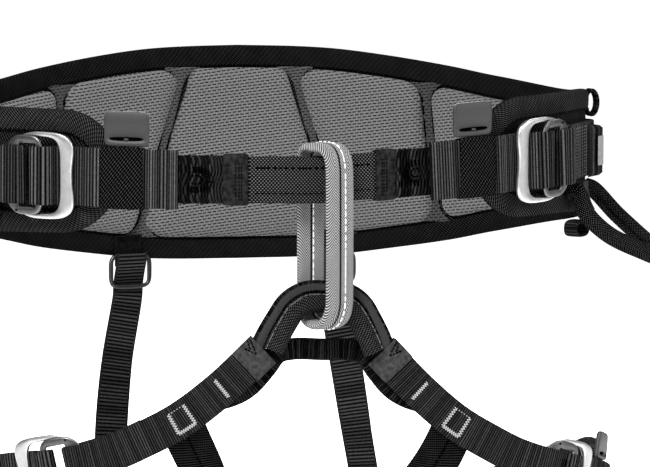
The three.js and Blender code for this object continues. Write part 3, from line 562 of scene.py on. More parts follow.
def twill_cloth(name, dark, light, pitch, lean, depth):
    """Diagonal ribs broken into short yarns."""
    shader = Shader(name, 0.75)
    yarn = shader.slant(-1 / lean).wave(pitch * 1.6)
    height = shader.slant(lean).wave(pitch) * (yarn * 0.45 + 0.55)
    uneven = shader.noise(0.12, 3) + 0.4
    return shader.finish(height ** 1.8 * uneven * shader.tone(), dark, light, height, depth)


def mesh_cloth(name, dark, light, row, dash, depth, cut):
    """Soft mesh with rows of short sunken dashes."""
    shader = Shader(name, 0.92, sheen=0.15)
    rows = (shader.along * -0.12 + shader.side) / row
    place = shader.along / dash + rows.node("FLOOR") * 0.5
    hole = rows.off_middle().ramp(0.24, 0.1) * place.off_middle().ramp(0.42, 0.28)
    grain = shader.noise(1.1, 2)
    share = (grain + 0.2 - hole * cut).node("MAXIMUM", 0.0)
    return shader.finish(share, dark, light, grain * 0.35 + 0.65 - hole * 0.9, depth)


def ribbed_cloth(name, dark, light, stripe=None, edge=None):
    """Webbing with a tone for each rib, which paints a highlight on its crest and shade between ribs, and
    fine yarns lengthwise; a smooth middle stripe or dotted edges.
    """
    shader = Shader(name, 0.6)
    yarn = shader.side.wave(0.9)
    uneven = shader.noise(0.5, 3)
    share = shader.tone() * (uneven * 0.9 + (yarn * 0.25 + 0.3))
    from_middle = shader.side.node("ABSOLUTE")
    if stripe:
        share = share.toward(uneven * 0.3 + 0.6, from_middle.ramp(stripe + 0.25, stripe - 0.25))
    if edge:
        dots = shader.along.wave(1.25) ** 2.0
        share = share.toward(dots * 0.55, from_middle.ramp(edge - 0.15, edge + 0.15))
    return shader.finish(share, dark, light, yarn + uneven, 0.1)


def knit_cloth(name, dark, light, pitch, depth):
    """Coarse knit of diagonal ribs broken into stitches."""
    shader = Shader(name, 0.7)
    other = shader.slant(-0.8).wave(pitch * 1.5)
    height = shader.slant(0.8).wave(pitch) * (other * 0.7 + 0.3)
    uneven = shader.noise(0.4, 2) * 1.2 + 0.4
    return shader.finish(height ** 2.0 * uneven, dark, light, height, depth)


def grain_cloth(name, dark, light, pitch, depth):
    """Plain weave of small raised dots in offset rows."""
    shader = Shader(name, 0.7)
    rows = shader.side / (pitch * 0.8)
    dot = shader.along.wave(pitch * 1.5, rows.node("FLOOR") * math.pi)
    height = dot * (rows.off_middle() * -1.6 + 1.0)
    return shader.finish(height ** 2.2, dark, light, height, depth)


def herringbone_cloth(name, dark, light, pitch, fold, depth):
    """Slanted yarns that turn back at each fold across the strap, with one lengthwise groove coloured dark
    as painted shade.
    """
    shader = Shader(name, 0.8, sheen=0.1)
    zig = (shader.side + fold * 20.5).node("PINGPONG", fold)
    rib = (zig * 1.3 + shader.along).wave(pitch)
    # Groove: painted shade that darkens the colour to nothing along it, and a dip in the relief.
    groove = (shader.side + 1.2).node("ABSOLUTE").ramp(0.3, 0.9)
    uneven = shader.noise(0.35, 2) * 0.5 + 0.75
    share = (rib ** 2.2 * 0.95 + 0.05) * groove * uneven
    return shader.finish(share, dark, light, rib * groove, depth)


def braided_cloth(name, dark, light, pitch, depth):
    """Tight braid with small light flecks."""
    shader = Shader(name, 0.6)
    one = shader.slant(1.0).wave(pitch)
    other = shader.slant(-1.0).wave(pitch)
    return shader.finish((one * other).ramp(0.5, 0.95), dark, light, one.node("MAXIMUM", other), depth)


def smooth_cloth(name, dark, light):
    """Close tape or thread with a faint slanted grain."""
    shader = Shader(name, 0.55)
    grain = shader.noise(0.35, 4)
    yarn = shader.slant(0.6).wave(0.8)
    return shader.finish(grain * 1.8 - 0.4, dark, light, yarn * 0.4 + grain, 0.12)


def hard_finish(name, dark, light, low, high, metallic, grain, depth):
    """Metal or plastic with fine marks, a little unevenness of gloss and a painted highlight on its rolled
    edges, from the tone.
    """
    shader = Shader(name, low, metallic, specular=0.5)
    marks = shader.noise(grain, 5)
    (marks * (high - low) + low).to(shader.inputs["Roughness"])
    # Painted highlight: the tone lightens the bevelled edges where light would catch them; the noise marks
    # are the real part.
    marks_and_edge_highlight = marks * 0.4 + (shader.tone() * 0.9 - 0.25)
    return shader.finish(marks_and_edge_highlight.node("MAXIMUM", 0.0).node("MINIMUM", 1.0), dark, light, marks, depth)


# Looks, as a slot and the material; thread has its slots in THREADS
LOOKS = {
    "binding": ("binding", twill_cloth("binding_twill", 0, 62, 1.95, -1.2, 0.3)),
    "cordura": ("cordura", twill_cloth("wing_cloth", 0, 80, 1.95, -0.7, 0.3)),
    "lining": ("lining", mesh_cloth("lining_mesh", 14, 107, 1.88, 3.3, 0.6, 1.15)),
    # Channel looks are darker copies of the lining mesh: painted shade in the sunken strips between the
    # pads.
    "channel": ("lining", mesh_cloth("channel_mesh", 8, 72, 1.88, 3.3, 0.5, 0.9)),
    "dark_channel": ("lining", mesh_cloth("dark_channel_mesh", 6, 62, 1.88, 3.3, 0.5, 0.9)),
    "webbing": ("webbing", ribbed_cloth("ribbed_webbing", 0, 88)),
    "leg_webbing": ("webbing", ribbed_cloth("leg_webbing", 0, 62)),
    "rear": ("webbing", ribbed_cloth("rear_webbing", 0, 66, edge=8.6)),
    "band": ("webbing", ribbed_cloth("arch_band", 0, 52, stripe=1.7)),
    "bridge": ("webbing", ribbed_cloth("bridge_webbing", 0, 54, edge=5.1)),
    "anchor": ("webbing", smooth_cloth("anchor_tape", 3, 20)),
    "dark_webbing": ("webbing", ribbed_cloth("dark_webbing", 0, 58)),
    "thigh": ("webbing", twill_cloth("thigh_webbing", 0, 58, 1.5, 0.5, 0.2)),
    "knit": ("elastic", knit_cloth("keeper_knit", 0, 62, 1.6, 0.7)),
    "sleeve": ("elastic", knit_cloth("sleeve_knit", 0, 84, 1.25, 0.4)),
    "tie": ("webbing", grain_cloth("tie_in_weave", 0, 118, 1.25, 0.4)),
    "tape": ("tape", smooth_cloth("dark_tape", 0, 40)),
    "arch_tape": ("tape", smooth_cloth("arch_tape", 22, 64)),
    "belay": ("belay", herringbone_cloth("belay_webbing", 4, 176, 1.6, 8.5, 0.5)),
    "plastic": ("plastic", hard_finish("satin_plastic", 8, 40, 0.5, 0.65, 0.0, 0.8, 0.02)),
    "steel": ("steel", hard_finish("bright_steel", 142, 216, 0.3, 0.42, 1.0, 0.25, 0.01)),
    "plate": ("plate", hard_finish("dark_plate", 62, 118, 0.34, 0.46, 1.0, 0.25, 0.01)),
    "dark_plate": ("plate", hard_finish("dark_wire", 26, 70, 0.34, 0.5, 1.0, 0.25, 0.01)),
    "cord": ("cord", braided_cloth("braided_sleeve", 2, 84, 1.5, 0.5)),
    "patch": ("tape", smooth_cloth("pale_patch", 105, 140)),
    "thread": (None, smooth_cloth("light_thread", 225, 252)),
    "seam_thread": (None, smooth_cloth("seam_thread", 60, 110)),
    "tape_thread": (None, smooth_cloth("tape_thread", 1, 8)),
    "bar_thread": (None, smooth_cloth("bar_thread", 120, 176)),
    "dark_thread": (None, smooth_cloth("dark_thread", 0, 4)),
}


# Meshes, from rows of spots; a spot is a point, its cloth coordinate and its tone
PLAIN = 0.5


def add_object(name, data):
    obj = bpy.data.objects.new(name, data)
    bpy.context.scene.collection.objects.link(obj)
    return obj


def signed_volume(verts, faces):
    """Volume, below zero where the faces look inward."""
    corners = [(face[0], *pair) for face in faces for pair in zip(face[1:], face[2:])]
    first, second, third = (verts[list(column)] for column in zip(*corners))
    return np.einsum("ij,ij->i", first, np.cross(second, third)).sum()


def body(name, points, faces, corners, tones, look, nodes=(), slot=None):
    """Piece on the one body, with a cloth coordinate at each face corner and a tone at each point."""
    verts = np.array([tuple(point) for point in points])
    if signed_volume(verts, faces) < 0:
        faces = [face[::-1] for face in faces]
        corners = [face[::-1] for face in corners]
    mesh = bpy.data.meshes.new(name)
    mesh.from_pydata((verts * MM).tolist(), [], faces)
    cloth = [value for face in corners for corner in face for value in corner]
    mesh.uv_layers.new(name="cloth").data.foreach_set("uv", cloth)
    mesh.polygons.foreach_set("use_smooth", [len(face) < 5 for face in faces])
    mesh.attributes.new("tone", "FLOAT", "POINT").data.foreach_set("value", tones)
    usual_slot, material = LOOKS[look]
    mesh.materials.append(material)
    mesh.update()
    obj = add_object(name, mesh)
    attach(obj, "root")
    slot or usual_slot
    if nodes:
        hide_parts(*nodes)


def loft_faces(cloth, wrap=None):
    """Faces between rows of cloth coordinates, and their corners; the wrap row closes the rows to a ring."""
    size = len(cloth[0])
    rows = cloth + [wrap] if wrap else cloth
    faces = []
    corners = []
    for bay in range(len(rows) - 1):
        near = bay * size
        far = (bay + 1) % len(cloth) * size
        for here in range(size):
            there = (here + 1) % size
            faces.append((near + here, far + here, far + there, near + there))
            corners.append((rows[bay][here], rows[bay + 1][here], rows[bay + 1][there], rows[bay][there]))
    if not wrap:
        end = (len(rows) - 1) * size
        faces += [tuple(range(size)), tuple(end + corner for corner in reversed(range(size)))]
        corners += [tuple(rows[0]), tuple(reversed(rows[-1]))]
    return faces, corners


def loft(name, rows, look, node=None, wrap=None, slot=None):
    """Skin over rows of spots, capped at both ends or closed by a wrap row of cloth coordinates."""
    faces, corners = loft_faces([[spot[1] for spot in row] for row in rows], wrap)
    points, _, tones = zip(*(spot for row in rows for spot in row))
    body(name, points, faces, corners, tones, look, [node] if node else (), slot)


class Ribs:
    """Uneven crosswise ribs along a strap, each with its own length, height and tone, with painted shade
    between them and a painted highlight on each crest.
    """

    def __init__(self, seed, length, pitch, depth, uneven=0.3, least=0.1):
        chance = random.Random(seed)
        self.edges = [0]
        self.heights = []
        self.tones = []
        while self.edges[-1] < length + pitch:
            self.edges.append(self.edges[-1] + pitch * chance.uniform(1 - uneven, 1 + uneven))
            self.heights.append(depth * chance.uniform(0.6, 1))
            self.tones.append(least + (1 - least) * chance.random() ** 1.5)

    def at(self, along):
        rib, share = find_bay(self.edges, along)
        crest = abs(math.sin(math.pi * share)) ** 0.7
        # The tone rises to a painted highlight on the crest and falls to painted shade between ribs.
        return self.heights[rib] * (crest - 1), self.tones[rib] * crest ** 5


def strap_outline(width, thick, steps=10):
    """Section of a strap as (side, face) rows: two flat faces with round edges."""
    radius = thick / 2
    half = width / 2 - radius
    right = [(side, radius) for side in spread(-half, half, steps + 1)]
    right += [(half + radius * math.cos(turn), radius * math.sin(turn)) for turn in (0.9, 0.3, -0.3, -0.9)]
    return right + [(-side, -face) for side, face in right]


def spots(track, section, tone=PLAIN):
    """Row of spots at (along, offset, height) places on a track."""
    return [(track(*place), (place[0], place[2]), tone) for place in section]


WAVE_TURN = 0.8


def sided(name, side):
    return f"{name}_{side}" if name and side else name


def strap(piece, line, side=None, crown=0, wave=0, shape=None):
    """Strap along a line, with ribs raised on both faces, straight across it or wavy."""
    node, look, width, thick, *ribbing = STRAPS[piece]
    ribs = None
    if ribbing:
        seed, kind = ribbing
        ribs = Ribs(seed + SIDES.get(side, 0), line.length, **RIBS[kind])
    outline = strap_outline(width, thick)
    rows = []
    for at, across, out, along in zip(line.at, line.across, line.out, line.along):
        wide, flat = shape(along / line.length) if shape else (1, 1)
        row = []
        for off, face in outline:
            rise, tone = ribs.at(along + wave * math.sin(off * WAVE_TURN)) if ribs else (0, PLAIN)
            swell = crown * (1 - (2 * off / width) ** 2)
            lift = face * flat * (1 + (rise + swell) / (thick / 2))
            row.append((at + across * off * wide + out * lift, (along, off), tone))
        rows.append(row)
    wrap = [(line.length, off) for off, _ in outline] if line.closed else None
    loft(sided(piece, side), rows, look, sided(node, side), wrap)


def tube(name, line, radius, look, node, ribs=None, sides=20):
    """Round tube along a line."""
    rows = []
    for at, across, out, along in zip(line.at, line.across, line.out, line.along):
        rise, tone = ribs.at(along) if ribs else (0, PLAIN)
        row = []
        for turn in (2 * math.pi * side / sides for side in range(sides)):
            way = across * math.cos(turn) + out * math.sin(turn)
            row.append((at + way * (radius + rise), (along, radius * turn), tone))
        rows.append(row)
    loft(name, rows, look, node)


SLEEVE_END = 0.2
SLEEVE_SWELL = 0.35


def sleeve(name, track, size, half_height, wall, look, node):
    """Thin cloth sleeve around a strap, between two places on its track."""
    middle = (size.low + size.high) / 2

    def around(along, grow):
        corner = (size.high - size.low) / 2 + grow
        flat = half_height + grow - corner * SLEEVE_END
        section = []
        for end in (1, -1):
            for turn in spread(0, math.pi, 9):
                height = flat + corner * SLEEVE_END * math.sin(turn)
                section.append((along, middle + end * corner * math.cos(turn), end * height))
            for height in spread(end * flat, -end * flat, 7)[1:-1]:
                section.append((along, middle - end * corner, height))
        return spots(track, section)

    places = spread(size.start, size.end, 9)
    swell = [SLEEVE_SWELL * (1 - share ** 4) for share in spread(-1, 1, 9)]
    rows = [around(place, wall + more) for place, more in zip(places, swell)]
    rows += [around(place, 0) for place in reversed(places)]
    loft(name, rows, look, node, wrap=[spot[1] for spot in rows[0]])


def ring_plate(name, outer, inner, low, high, place, look, node, bevel, lip_bevel=None):
    """Flat ring with rolled edges between two outlines of (along, height) rows; its tone is a painted
    highlight, lightest on the bevels, with the side wall shaded darker towards its lower edge.
    """
    # Section spots as (inward share, level, tone): the tones are a painted highlight on the bevels and
    # painted shade low on the side wall.
    section = [
        (0, low + bevel, 0.3), (0, high - bevel, 0.75), (0.35, high - 0.3 * bevel, 1), (1, high, 0.35)]
    rows = []
    for rim, lip in zip(outer, inner):
        rim, lip = Vector(rim), Vector(lip)
        width = max((lip - rim).length, TINY)
        inward = (lip - rim) / width
        step = inward * min(bevel, width / 2.2)
        back = inward * min(lip_bevel or bevel, width / 2.2)
        sheet = [(rim + step * share, level, tone) for share, level, tone in section]
        sheet += [(lip - back * share, level, tone) for share, level, tone in reversed(section)]
        sheet += [(spot, low + high - level, tone) for spot, level, tone in reversed(sheet)][1:-1]
        rows.append([(place(spot.x, level, spot.y), (spot.x, spot.y), tone) for spot, level, tone in sheet])
    loft(name, rows, look, node, wrap=[spot[1] for spot in rows[0]])


# Thread, as (share of its length, thickness, lift) rows
THREAD_SIDES = 6
THREAD_SHAPE = [(0, 0.45, 0.1), (0.2, 1, 0.8), (0.8, 1, 0.8), (1, 0.45, 0.1)]
THREAD_CLOTH = [[(row * 2, turn * 0.3) for turn in range(THREAD_SIDES)] for row in range(len(THREAD_SHAPE))]


def stitches(name, kind, stretches):
    """One mesh of small threads; each stretch is (start, end, the way its face looks)."""
    look, slot, radius, *_ = THREADS[kind]
    one_faces, one_corners = loft_faces(THREAD_CLOTH)
    points = []
    faces = []
    for start, end, out in stretches:
        side = (end - start).normalized().cross(out).normalized()
        faces += [tuple(len(points) + corner for corner in face) for face in one_faces]
        for share, size, lift in THREAD_SHAPE:
            middle = start.lerp(end, share) + out * radius * lift
            for turn in (2 * math.pi * step / THREAD_SIDES for step in range(THREAD_SIDES)):
                points.append(middle + (side * math.cos(turn) + out * math.sin(turn)) * radius * size)
    body(name, points, faces, one_corners * len(stretches), [PLAIN] * len(points), look, slot=slot)


def running_stitch(points, ways, length, gap):
    """Stretches of a running stitch along even points."""
    found = []
    start = None
    for index, reach in list(enumerate(distances(points)))[1:]:
        phase = reach % (length + gap)
        if phase < length and start is None:
            start = index
        if phase >= length and start is not None:
            found.append((points[start], points[index], ways[index]))
            start = None
    return found


def sew(name, kind, rows):
    """Running stitches along rows, each as its points and the ways that its face looks, or one such way."""
    found = []
    for points, ways in rows:
        ways = [ways] * len(points) if isinstance(ways, Vector) else ways
        found += running_stitch(points, ways, *THREADS[kind][3:])
    stitches(name, kind, found)


# Belt: its outline inset from the edge, and the seams of the lining by their angles
NOSE_ARC = arc_at(BELT_EDGE.keys[-1])
NOSE_TOP = BELT_EDGE.columns["top"][-1]
NOSE_BOTTOM = BELT_EDGE.columns["bottom"][-1]
NOSE_MIDDLE = (NOSE_TOP + NOSE_BOTTOM) / 2
NOSE_HALF = (NOSE_TOP - NOSE_BOTTOM) / 2
INNER_SEAM = dict(top=11.3, bottom=20.5)
OUTER_SEAM = dict(top=39.2, bottom=42)
END_SEAM = dict(top=122, bottom=122)


def belt_edge(arc, edge, inset):
    sign = -1 if edge == "top" else 1
    if abs(arc) <= NOSE_ARC:
        return BELT_EDGE.at(abs(angle_at(arc)), edge) + sign * inset
    reach = min(1, (abs(arc) - NOSE_ARC) / (NOSE_LENGTH - inset))
    return NOSE_MIDDLE - sign * (NOSE_HALF - inset) * math.sqrt(1 - reach * reach)


def belt_height(arc, inset, up):
    """Height at a share of the way up the belt, and how far that is from its nearer edge."""
    low = belt_edge(arc, "bottom", inset)
    high = belt_edge(arc, "top", inset)
    height = lerp(low, high, up)
    return height, min(height - low, high - height)


def belt_shell():
    """Body of the belt between its bindings, sunk a little beside them."""
    inset = BINDING_WIDTH - SHELL_TUCK
    tip = [NOSE_ARC + (NOSE_LENGTH - inset) * math.sin(math.radians(turn)) for turn in range(6, 88, 6)]
    rows = []
    for arc in [-arc for arc in reversed(tip)] + spread(-NOSE_ARC, NOSE_ARC, 181) + tip:
        section = []
        for up in spread(0, 1, 13):
            sunk = SHELL_SINK.depth * abs(2 * up - 1) ** SHELL_SINK.power
            section.append((arc, SHELL_HALF - sunk, belt_height(arc, inset, up)[0]))
        section += [(arc, -deep, height) for _, deep, height in reversed(section)]
        rows.append(spots(on_waist, section))
    loft("belt_shell", rows, "cordura", "waist_shell")


def belt_binding():
    """Wide tape folded over the edge of the belt, all the way round, dark on its inner face."""
    edge = len(BINDING_HALF_SECTION)
    section = BINDING_HALF_SECTION + [(0, 0)]
    section += [(inset, -offset) for inset, offset in reversed(BINDING_HALF_SECTION)]
    tones = [BINDING_TONES.outside] * edge + [BINDING_TONES.inside] * (edge + 1)
    runs = spread(-NOSE_ARC, NOSE_ARC, 221)
    turns = [math.radians(turn) for turn in spread(86, -86, 44)]

    def beside(arc, rim):
        return [on_waist(arc, offset, belt_edge(arc, rim, inset)) for inset, offset in section]

    def nose(sign, turn):
        ring = []
        for inset, offset in section:
            arc = NOSE_ARC + (NOSE_LENGTH - inset) * math.cos(turn)
            ring.append(on_waist(sign * arc, offset, NOSE_MIDDLE + (NOSE_HALF - inset) * math.sin(turn)))
        return ring

    rings = [beside(arc, "top") for arc in runs] + [nose(1, turn) for turn in turns]
    rings += [beside(arc, "bottom") for arc in reversed(runs)]
    rings += [nose(-1, turn) for turn in reversed(turns)]

    fine = 4
    facing = [(ring[BINDING_SEAM] - ring[-1 - BINDING_SEAM]).normalized() for ring in rings]
    dense, _ = even_points(smooth_curve([ring[BINDING_SEAM] for ring in rings], True, fine), 0.6, True)
    ways = [facing[int(place / fine) % len(facing)] for _, place, _ in dense]
    sew("belt_binding_thread", "binding", [([point for point, _, _ in dense], ways)])

    along = distances([ring[edge] for ring in rings + rings[:1]])
    around = distances([Vector(spot) for spot in section])
    rows = []
    for ring, place in zip(rings, along):
        rows.append([(point, (place, reach), tone) for point, reach, tone in zip(ring, around, tones)])
    loft("belt_binding", rows, "binding", "waist_binding", wrap=[(along[-1], reach) for reach in around])


def seam_arc(seam, up):
    return lerp(arc_at(seam["bottom"]), arc_at(seam["top"]), up)


def mirrored(seam):
    return {edge: -angle for edge, angle in seam.items()}


def pillow(distance, reach):
    return math.sin(clamp(distance / reach) * math.pi / 2) ** 0.7


def corner_trim(short):
    """How far a panel's round corner draws its edge back, where that is short of the corner's end."""
    return PANEL_CORNER - math.sqrt(PANEL_CORNER ** 2 - short ** 2)


def lining_panel(place, left, right):
    """Crowned pad of the lining between two seams, with rounded corners."""
    name = f"lining_panel_{place}"
    length = seam_arc(right, 0.5) - seam_arc(left, 0.5) - CHANNEL_SHOWN
    middle = spread(PANEL_CORNER, length - PANEL_CORNER, max(8, round(length / 6)))[1:-1]
    ups = PANEL_EDGES + spread(0.24, 0.76, 10) + [1 - edge for edge in reversed(PANEL_EDGES)]
    rows = []
    for along in PANEL_ENDS + middle + [length - end for end in reversed(PANEL_ENDS)]:
        from_end = min(along, length - along)
        trim = BINDING_WIDTH + PANEL_MARGIN + corner_trim(max(0, PANEL_CORNER - from_end))
        section = []
        for up, raised in [(0, 0), (1, 0)] + [(up, 1) for up in reversed(ups)]:
            first = seam_arc(left, up) + CHANNEL_SHOWN / 2
            arc = lerp(first, seam_arc(right, up) - CHANNEL_SHOWN / 2, along / length)
            height, edge = belt_height(arc, trim, up)
            rise = PANEL_CROWN * pillow(from_end, PANEL_SWELL) * pillow(edge, PANEL_SWELL)
            rise += PANEL_BASE * lerp(PANEL_LIP, 1, pillow(from_end, PANEL_ROLL) * pillow(edge, PANEL_ROLL))
            section.append((arc, -LINING_FACE - rise * raised, height))
        rows.append(spots(on_waist, section))
    loft(name + "_pad", rows, "lining", name)


def lining_channel(place, seam, look):
    """Strip of lining sewn down between two panels, wider at their round corners."""
    name = f"lining_channel_{place}"
    rows = []
    threads = {-1: [], 1: []}
    for up in spread(0, 0.14, 18) + spread(0.16, 0.84, 30) + spread(0.86, 1, 18):
        arc = seam_arc(seam, up)
        height, edge = belt_height(arc, BINDING_WIDTH + GAP, up)
        short = clamp(PANEL_CORNER + PANEL_MARGIN - edge, 0, CHANNEL.corner * PANEL_CORNER)
        half = CHANNEL_SHOWN / 2 - CHANNEL.play + corner_trim(short)
        sides = spread(-half, half, 9)
        top = LINING_FACE + CHANNEL.rise
        section = [(arc + side, CHANNEL.dip * (side / half) ** 2 - top, height) for side in sides]
        section += [(arc + side, -LINING_FACE, height) for side in reversed(sides)]
        rows.append(spots(on_waist, section))
        for side, thread in threads.items():
            at = arc + side * (half - CHANNEL.thread_in)
            thread.append(on_waist(at, -LINING_FACE - CHANNEL.thread_rise, height))
    loft(name, rows, look)
    middle = threads[1][30]
    inward = -Vector((middle.x, middle.y, 0)).normalized()
    sew(name + "_thread", "channel", [(thread, inward) for thread in threads.values()])


belt_shell()
belt_binding()
lining_panel("centre", mirrored(INNER_SEAM), INNER_SEAM)
lining_panel("back_left", mirrored(OUTER_SEAM), mirrored(INNER_SEAM))
lining_panel("back_right", INNER_SEAM, OUTER_SEAM)
lining_panel("side_left", mirrored(END_SEAM), mirrored(OUTER_SEAM))
lining_panel("side_right", OUTER_SEAM, END_SEAM)
# The channels take the darker copies of the lining mesh, painted shade for their sunken strips.
for place, seam, look in (("inner", INNER_SEAM, "channel"), ("outer", OUTER_SEAM, "dark_channel")):
    lining_channel(f"{place}_right", seam, look)
    lining_channel(f"{place}_left", mirrored(seam), look)


# Buckles and plastic tabs
def rounded_outline(start, end, half_height, near_power, far_power, count=96):
    """Rows of (along, height) round a box with soft corners."""
    rows = []
    for angle in turns_round(count):
        power = near_power if math.cos(angle) < 0 else far_power
        along = lerp(start, end, (1 + squared(math.cos(angle), power)) / 2)
        rows.append((along, squared(math.sin(angle), power) * half_height))
    return rows


def waisted(rows, start, end, depth):
    """Outline drawn in at the middle of its near edge."""
    half = max(high for _, high in rows)
    drawn = []
    for along, high in rows:
        near = blend((start + end) / 2, start, along)
        drawn.append((along + depth * near * (1 - (high / half) ** 2) ** 2, high))
    return drawn


def buckle(piece, node, side, track, web, hole_side):
    """Bright frame and dark plate, with a small dark capsule on one horn of the plate, painted shade where a
    hole would be.
    """
    for part, size, look in (("frame", FRAME, "steel"), ("plate", PLATE, "plate")):
        window = web / 2 + size.room
        outer = rounded_outline(size.start, size.end, window + size.border, size.near_power, size.far_power)
        outer = waisted(outer, size.start, size.end, size.waist)
        inner = rounded_outline(*size.window, window, size.window_power, size.window_power)
        ring_plate(f"{piece}_{part}_{side}", outer, inner, size.low, size.high, track,
                   look, f"{node}_{part}_{side}", BUCKLE_BEVEL)
    # Dark capsule on the plate's horn: painted shade standing in for a hole.
    along = PLATE.window[1] + PLATE_HOLE.past
    high = hole_side * (web / 2 + PLATE_HOLE.beside)
    level = PLATE.high - PLATE_HOLE.sunk
    ends = [track(along + shift, level, high) for shift in (-PLATE_HOLE.half, PLATE_HOLE.half)]
    stitches(f"{piece}_hole_{side}", "hole", [(*ends, face_way(track, along, 0, high))])


SLOT_HALF = 1
SLOT_INSET = 0.13
KNOB_HALF = 1.3
TAB_BEVEL = 0.8
SLOT_BEVEL = 0.15
SLOT_FLOOR = 0.6
RETAINER = Sizes(start=81.5, end=105.5, low=16.8, high=35.7, near=6.6, far=9.1, slot=4.2)
LEG_TAB = Sizes(start=-33, end=-13, low=10.6, high=26, near=-0.3, far=2.1, slot=3)


def tab_plate(name, track, size, node):
    """Moulded tab with a slot near its lower edge, a near-black plug in the slot as painted shade, and a
    knob in the slot.
    """
    start, end, low, high, near, far, slot_rise = vars(size).values()
    middle = (low + high) / 2
    slot_level = low + slot_rise
    outer = [(along, middle + up) for along, up in rounded_outline(start, end, (high - low) / 2, 7, 7)]
    reach = (end - start) * SLOT_INSET
    slot = rounded_outline(start + reach, end - reach, SLOT_HALF, 3, 3)
    inner = [(along, slot_level + up) for along, up in slot]
    # Near-black plug set into the slot: painted shade in its hollow.
    deep = lerp(near, far, 0.75)
    rows = []
    for level in (deep, deep - SLOT_FLOOR):
        rows.append([(track(along, level, up), (0, 0), PLAIN) for along, up in inner])
    loft(name + "_slot", rows, "dark_thread", slot="plastic")
    centre = (start + end) / 2
    knob = [track(centre + off, far - 0.5, slot_level - 0.2) for off in (-KNOB_HALF, KNOB_HALF)]
    stitches(name + "_knob", "knob", [(*knob, face_way(track, centre, far, middle))])
    ring_plate(name, outer, inner, near, far, track, "plastic", node, TAB_BEVEL, SLOT_BEVEL)


# Waist fastening, by the distance from the middle of the front; webbing rows are from the buckle
KEEPER = Sizes(start=84.5, end=107, low=5.35, high=10.35)
KEEPER_WALL = 0.5
TAPE = Sizes(start=34.3, end=46, low=-0.7, high=4.9)
TAPE_WALL = 1
TAPE_COLUMNS = (37.4, 38.6, 40.2)
TIE_WEBBING = [(37.2, 2), (46, 2.4), (58, 4.3), (67, 5.9), (82, 5.9)]
WEBBING_ROWS = (58, 60.5, 64, 67.5, 71, 74)
RING_STITCH = Sizes(at=59, level=5.9, slope=0.35 / 9, radii=(8.2, 6.8, 5.4, 3), flat=0.8)
SLEEVE_PLAY = 0.1


def waist_side(name, sign):
    track = partial(on_front, sign)
    at_buckle = shifted(track, WAIST_BUCKLE_AT, WAIST_BASE)
    buckle("buckle", "waist_buckle", name, at_buckle, WAIST_WEB, sign)
    strap("front_webbing", track_line(at_buckle, FRONT_WEBBING), name)
    strap("belt_webbing", track_line(at_buckle, BELT_WEBBING), name)

    rows = []
    half = WAIST_WEB / 2 - 1.5
    for along in WEBBING_ROWS:
        level = lerp(2, 0.9, min((along - 55) / 8, 1)) + WEB_THICK / 2
        row = [at_buckle(along, level, high) for high in spread(-half, half, 160)]
        rows.append((row, face_way(at_buckle, along, level)))
    sew(f"belt_webbing_thread_{name}", "belt", rows)

    half = WAIST_WEB / 2 + SLEEVE_PLAY
    sleeve(f"keeper_{name}", track, KEEPER, half, KEEPER_WALL, "knit", f"strap_keeper_{name}")
    tab_plate(f"retainer_{name}", track, RETAINER, f"strap_retainer_{name}")
    strap("tie_webbing", track_line(track, TIE_WEBBING), name, wave=0.9)

    rows = []
    for radius in RING_STITCH.radii:
        row = []
        for turn in spread(0, 2 * math.pi, 120):
            off = radius * math.cos(turn)
            level = RING_STITCH.level + RING_STITCH.slope * off
            row.append(track(RING_STITCH.at + off, level, RING_STITCH.flat * radius * math.sin(turn)))
        rows.append((row, FORWARD))
    sew(f"tie_ring_thread_{name}", "ring", rows)

    half = LOOP_WEB / 2 + SLEEVE_PLAY
    sleeve(f"tie_tape_{name}", track, TAPE, half, TAPE_WALL, "tape", f"tie_in_tape_{name}")
    level = TAPE.high + TAPE_WALL + 0.3
    rows = []
    for along in TAPE_COLUMNS:
        rows.append(([track(along, level, high) for high in spread(-11, 11, 120)], FORWARD))
    sew(f"tie_tape_thread_{name}", "tie_tape", rows)


for name, sign in SIDES.items():
    waist_side(name, sign)

# Upper tie-in loop, as (distance along the front, offset) rows
UPPER_LOOP = [
    (-33.5, 3.4), (-20, 3.6), (0, 3.7), (20, 3.6), (33.5, 3.4), (34.8, 2.9), (35.2, 1.9), (34.8, 0.9),
    (33.5, 0.4), (20, -2.5), (0, -3.8), (-20, -2.5), (-33.5, 0.4), (-34.8, 0.9), (-35.2, 1.9), (-34.8, 2.9),
]
UPPER_SEAMS = {"low": -7, "high": 6.5}
UPPER_SEAM_REACH = 33
UPPER_MIDDLE = 2
upper_line = Line([on_front(1, *row, 0) for row in UPPER_LOOP], UP, 0.7, closed=True)
strap("tie_loop", upper_line)
upper_front = [at for at in upper_line.at if at.y < on_front(1, at.x, UPPER_MIDDLE, 0).y]
upper_front = [at for at in upper_front if abs(at.x) < UPPER_SEAM_REACH]
upper_front.sort(key=lambda point: point.x)
for place, height in UPPER_SEAMS.items():
    row = [at + FORWARD * LOOP_THICK / 2 + UP * height for at in upper_front]
    sew(f"tie_loop_thread_{place}", "tie_loop", [(row, FORWARD)])

# Belay loop
BELAY = Sizes(x=7.5, y=-125.5, top=20.4, bottom=-79.4, half_depth=13.65, turn=23.7, bow=2.4)
BELAY_POWER = dict(top=3.5, bottom=2.3)


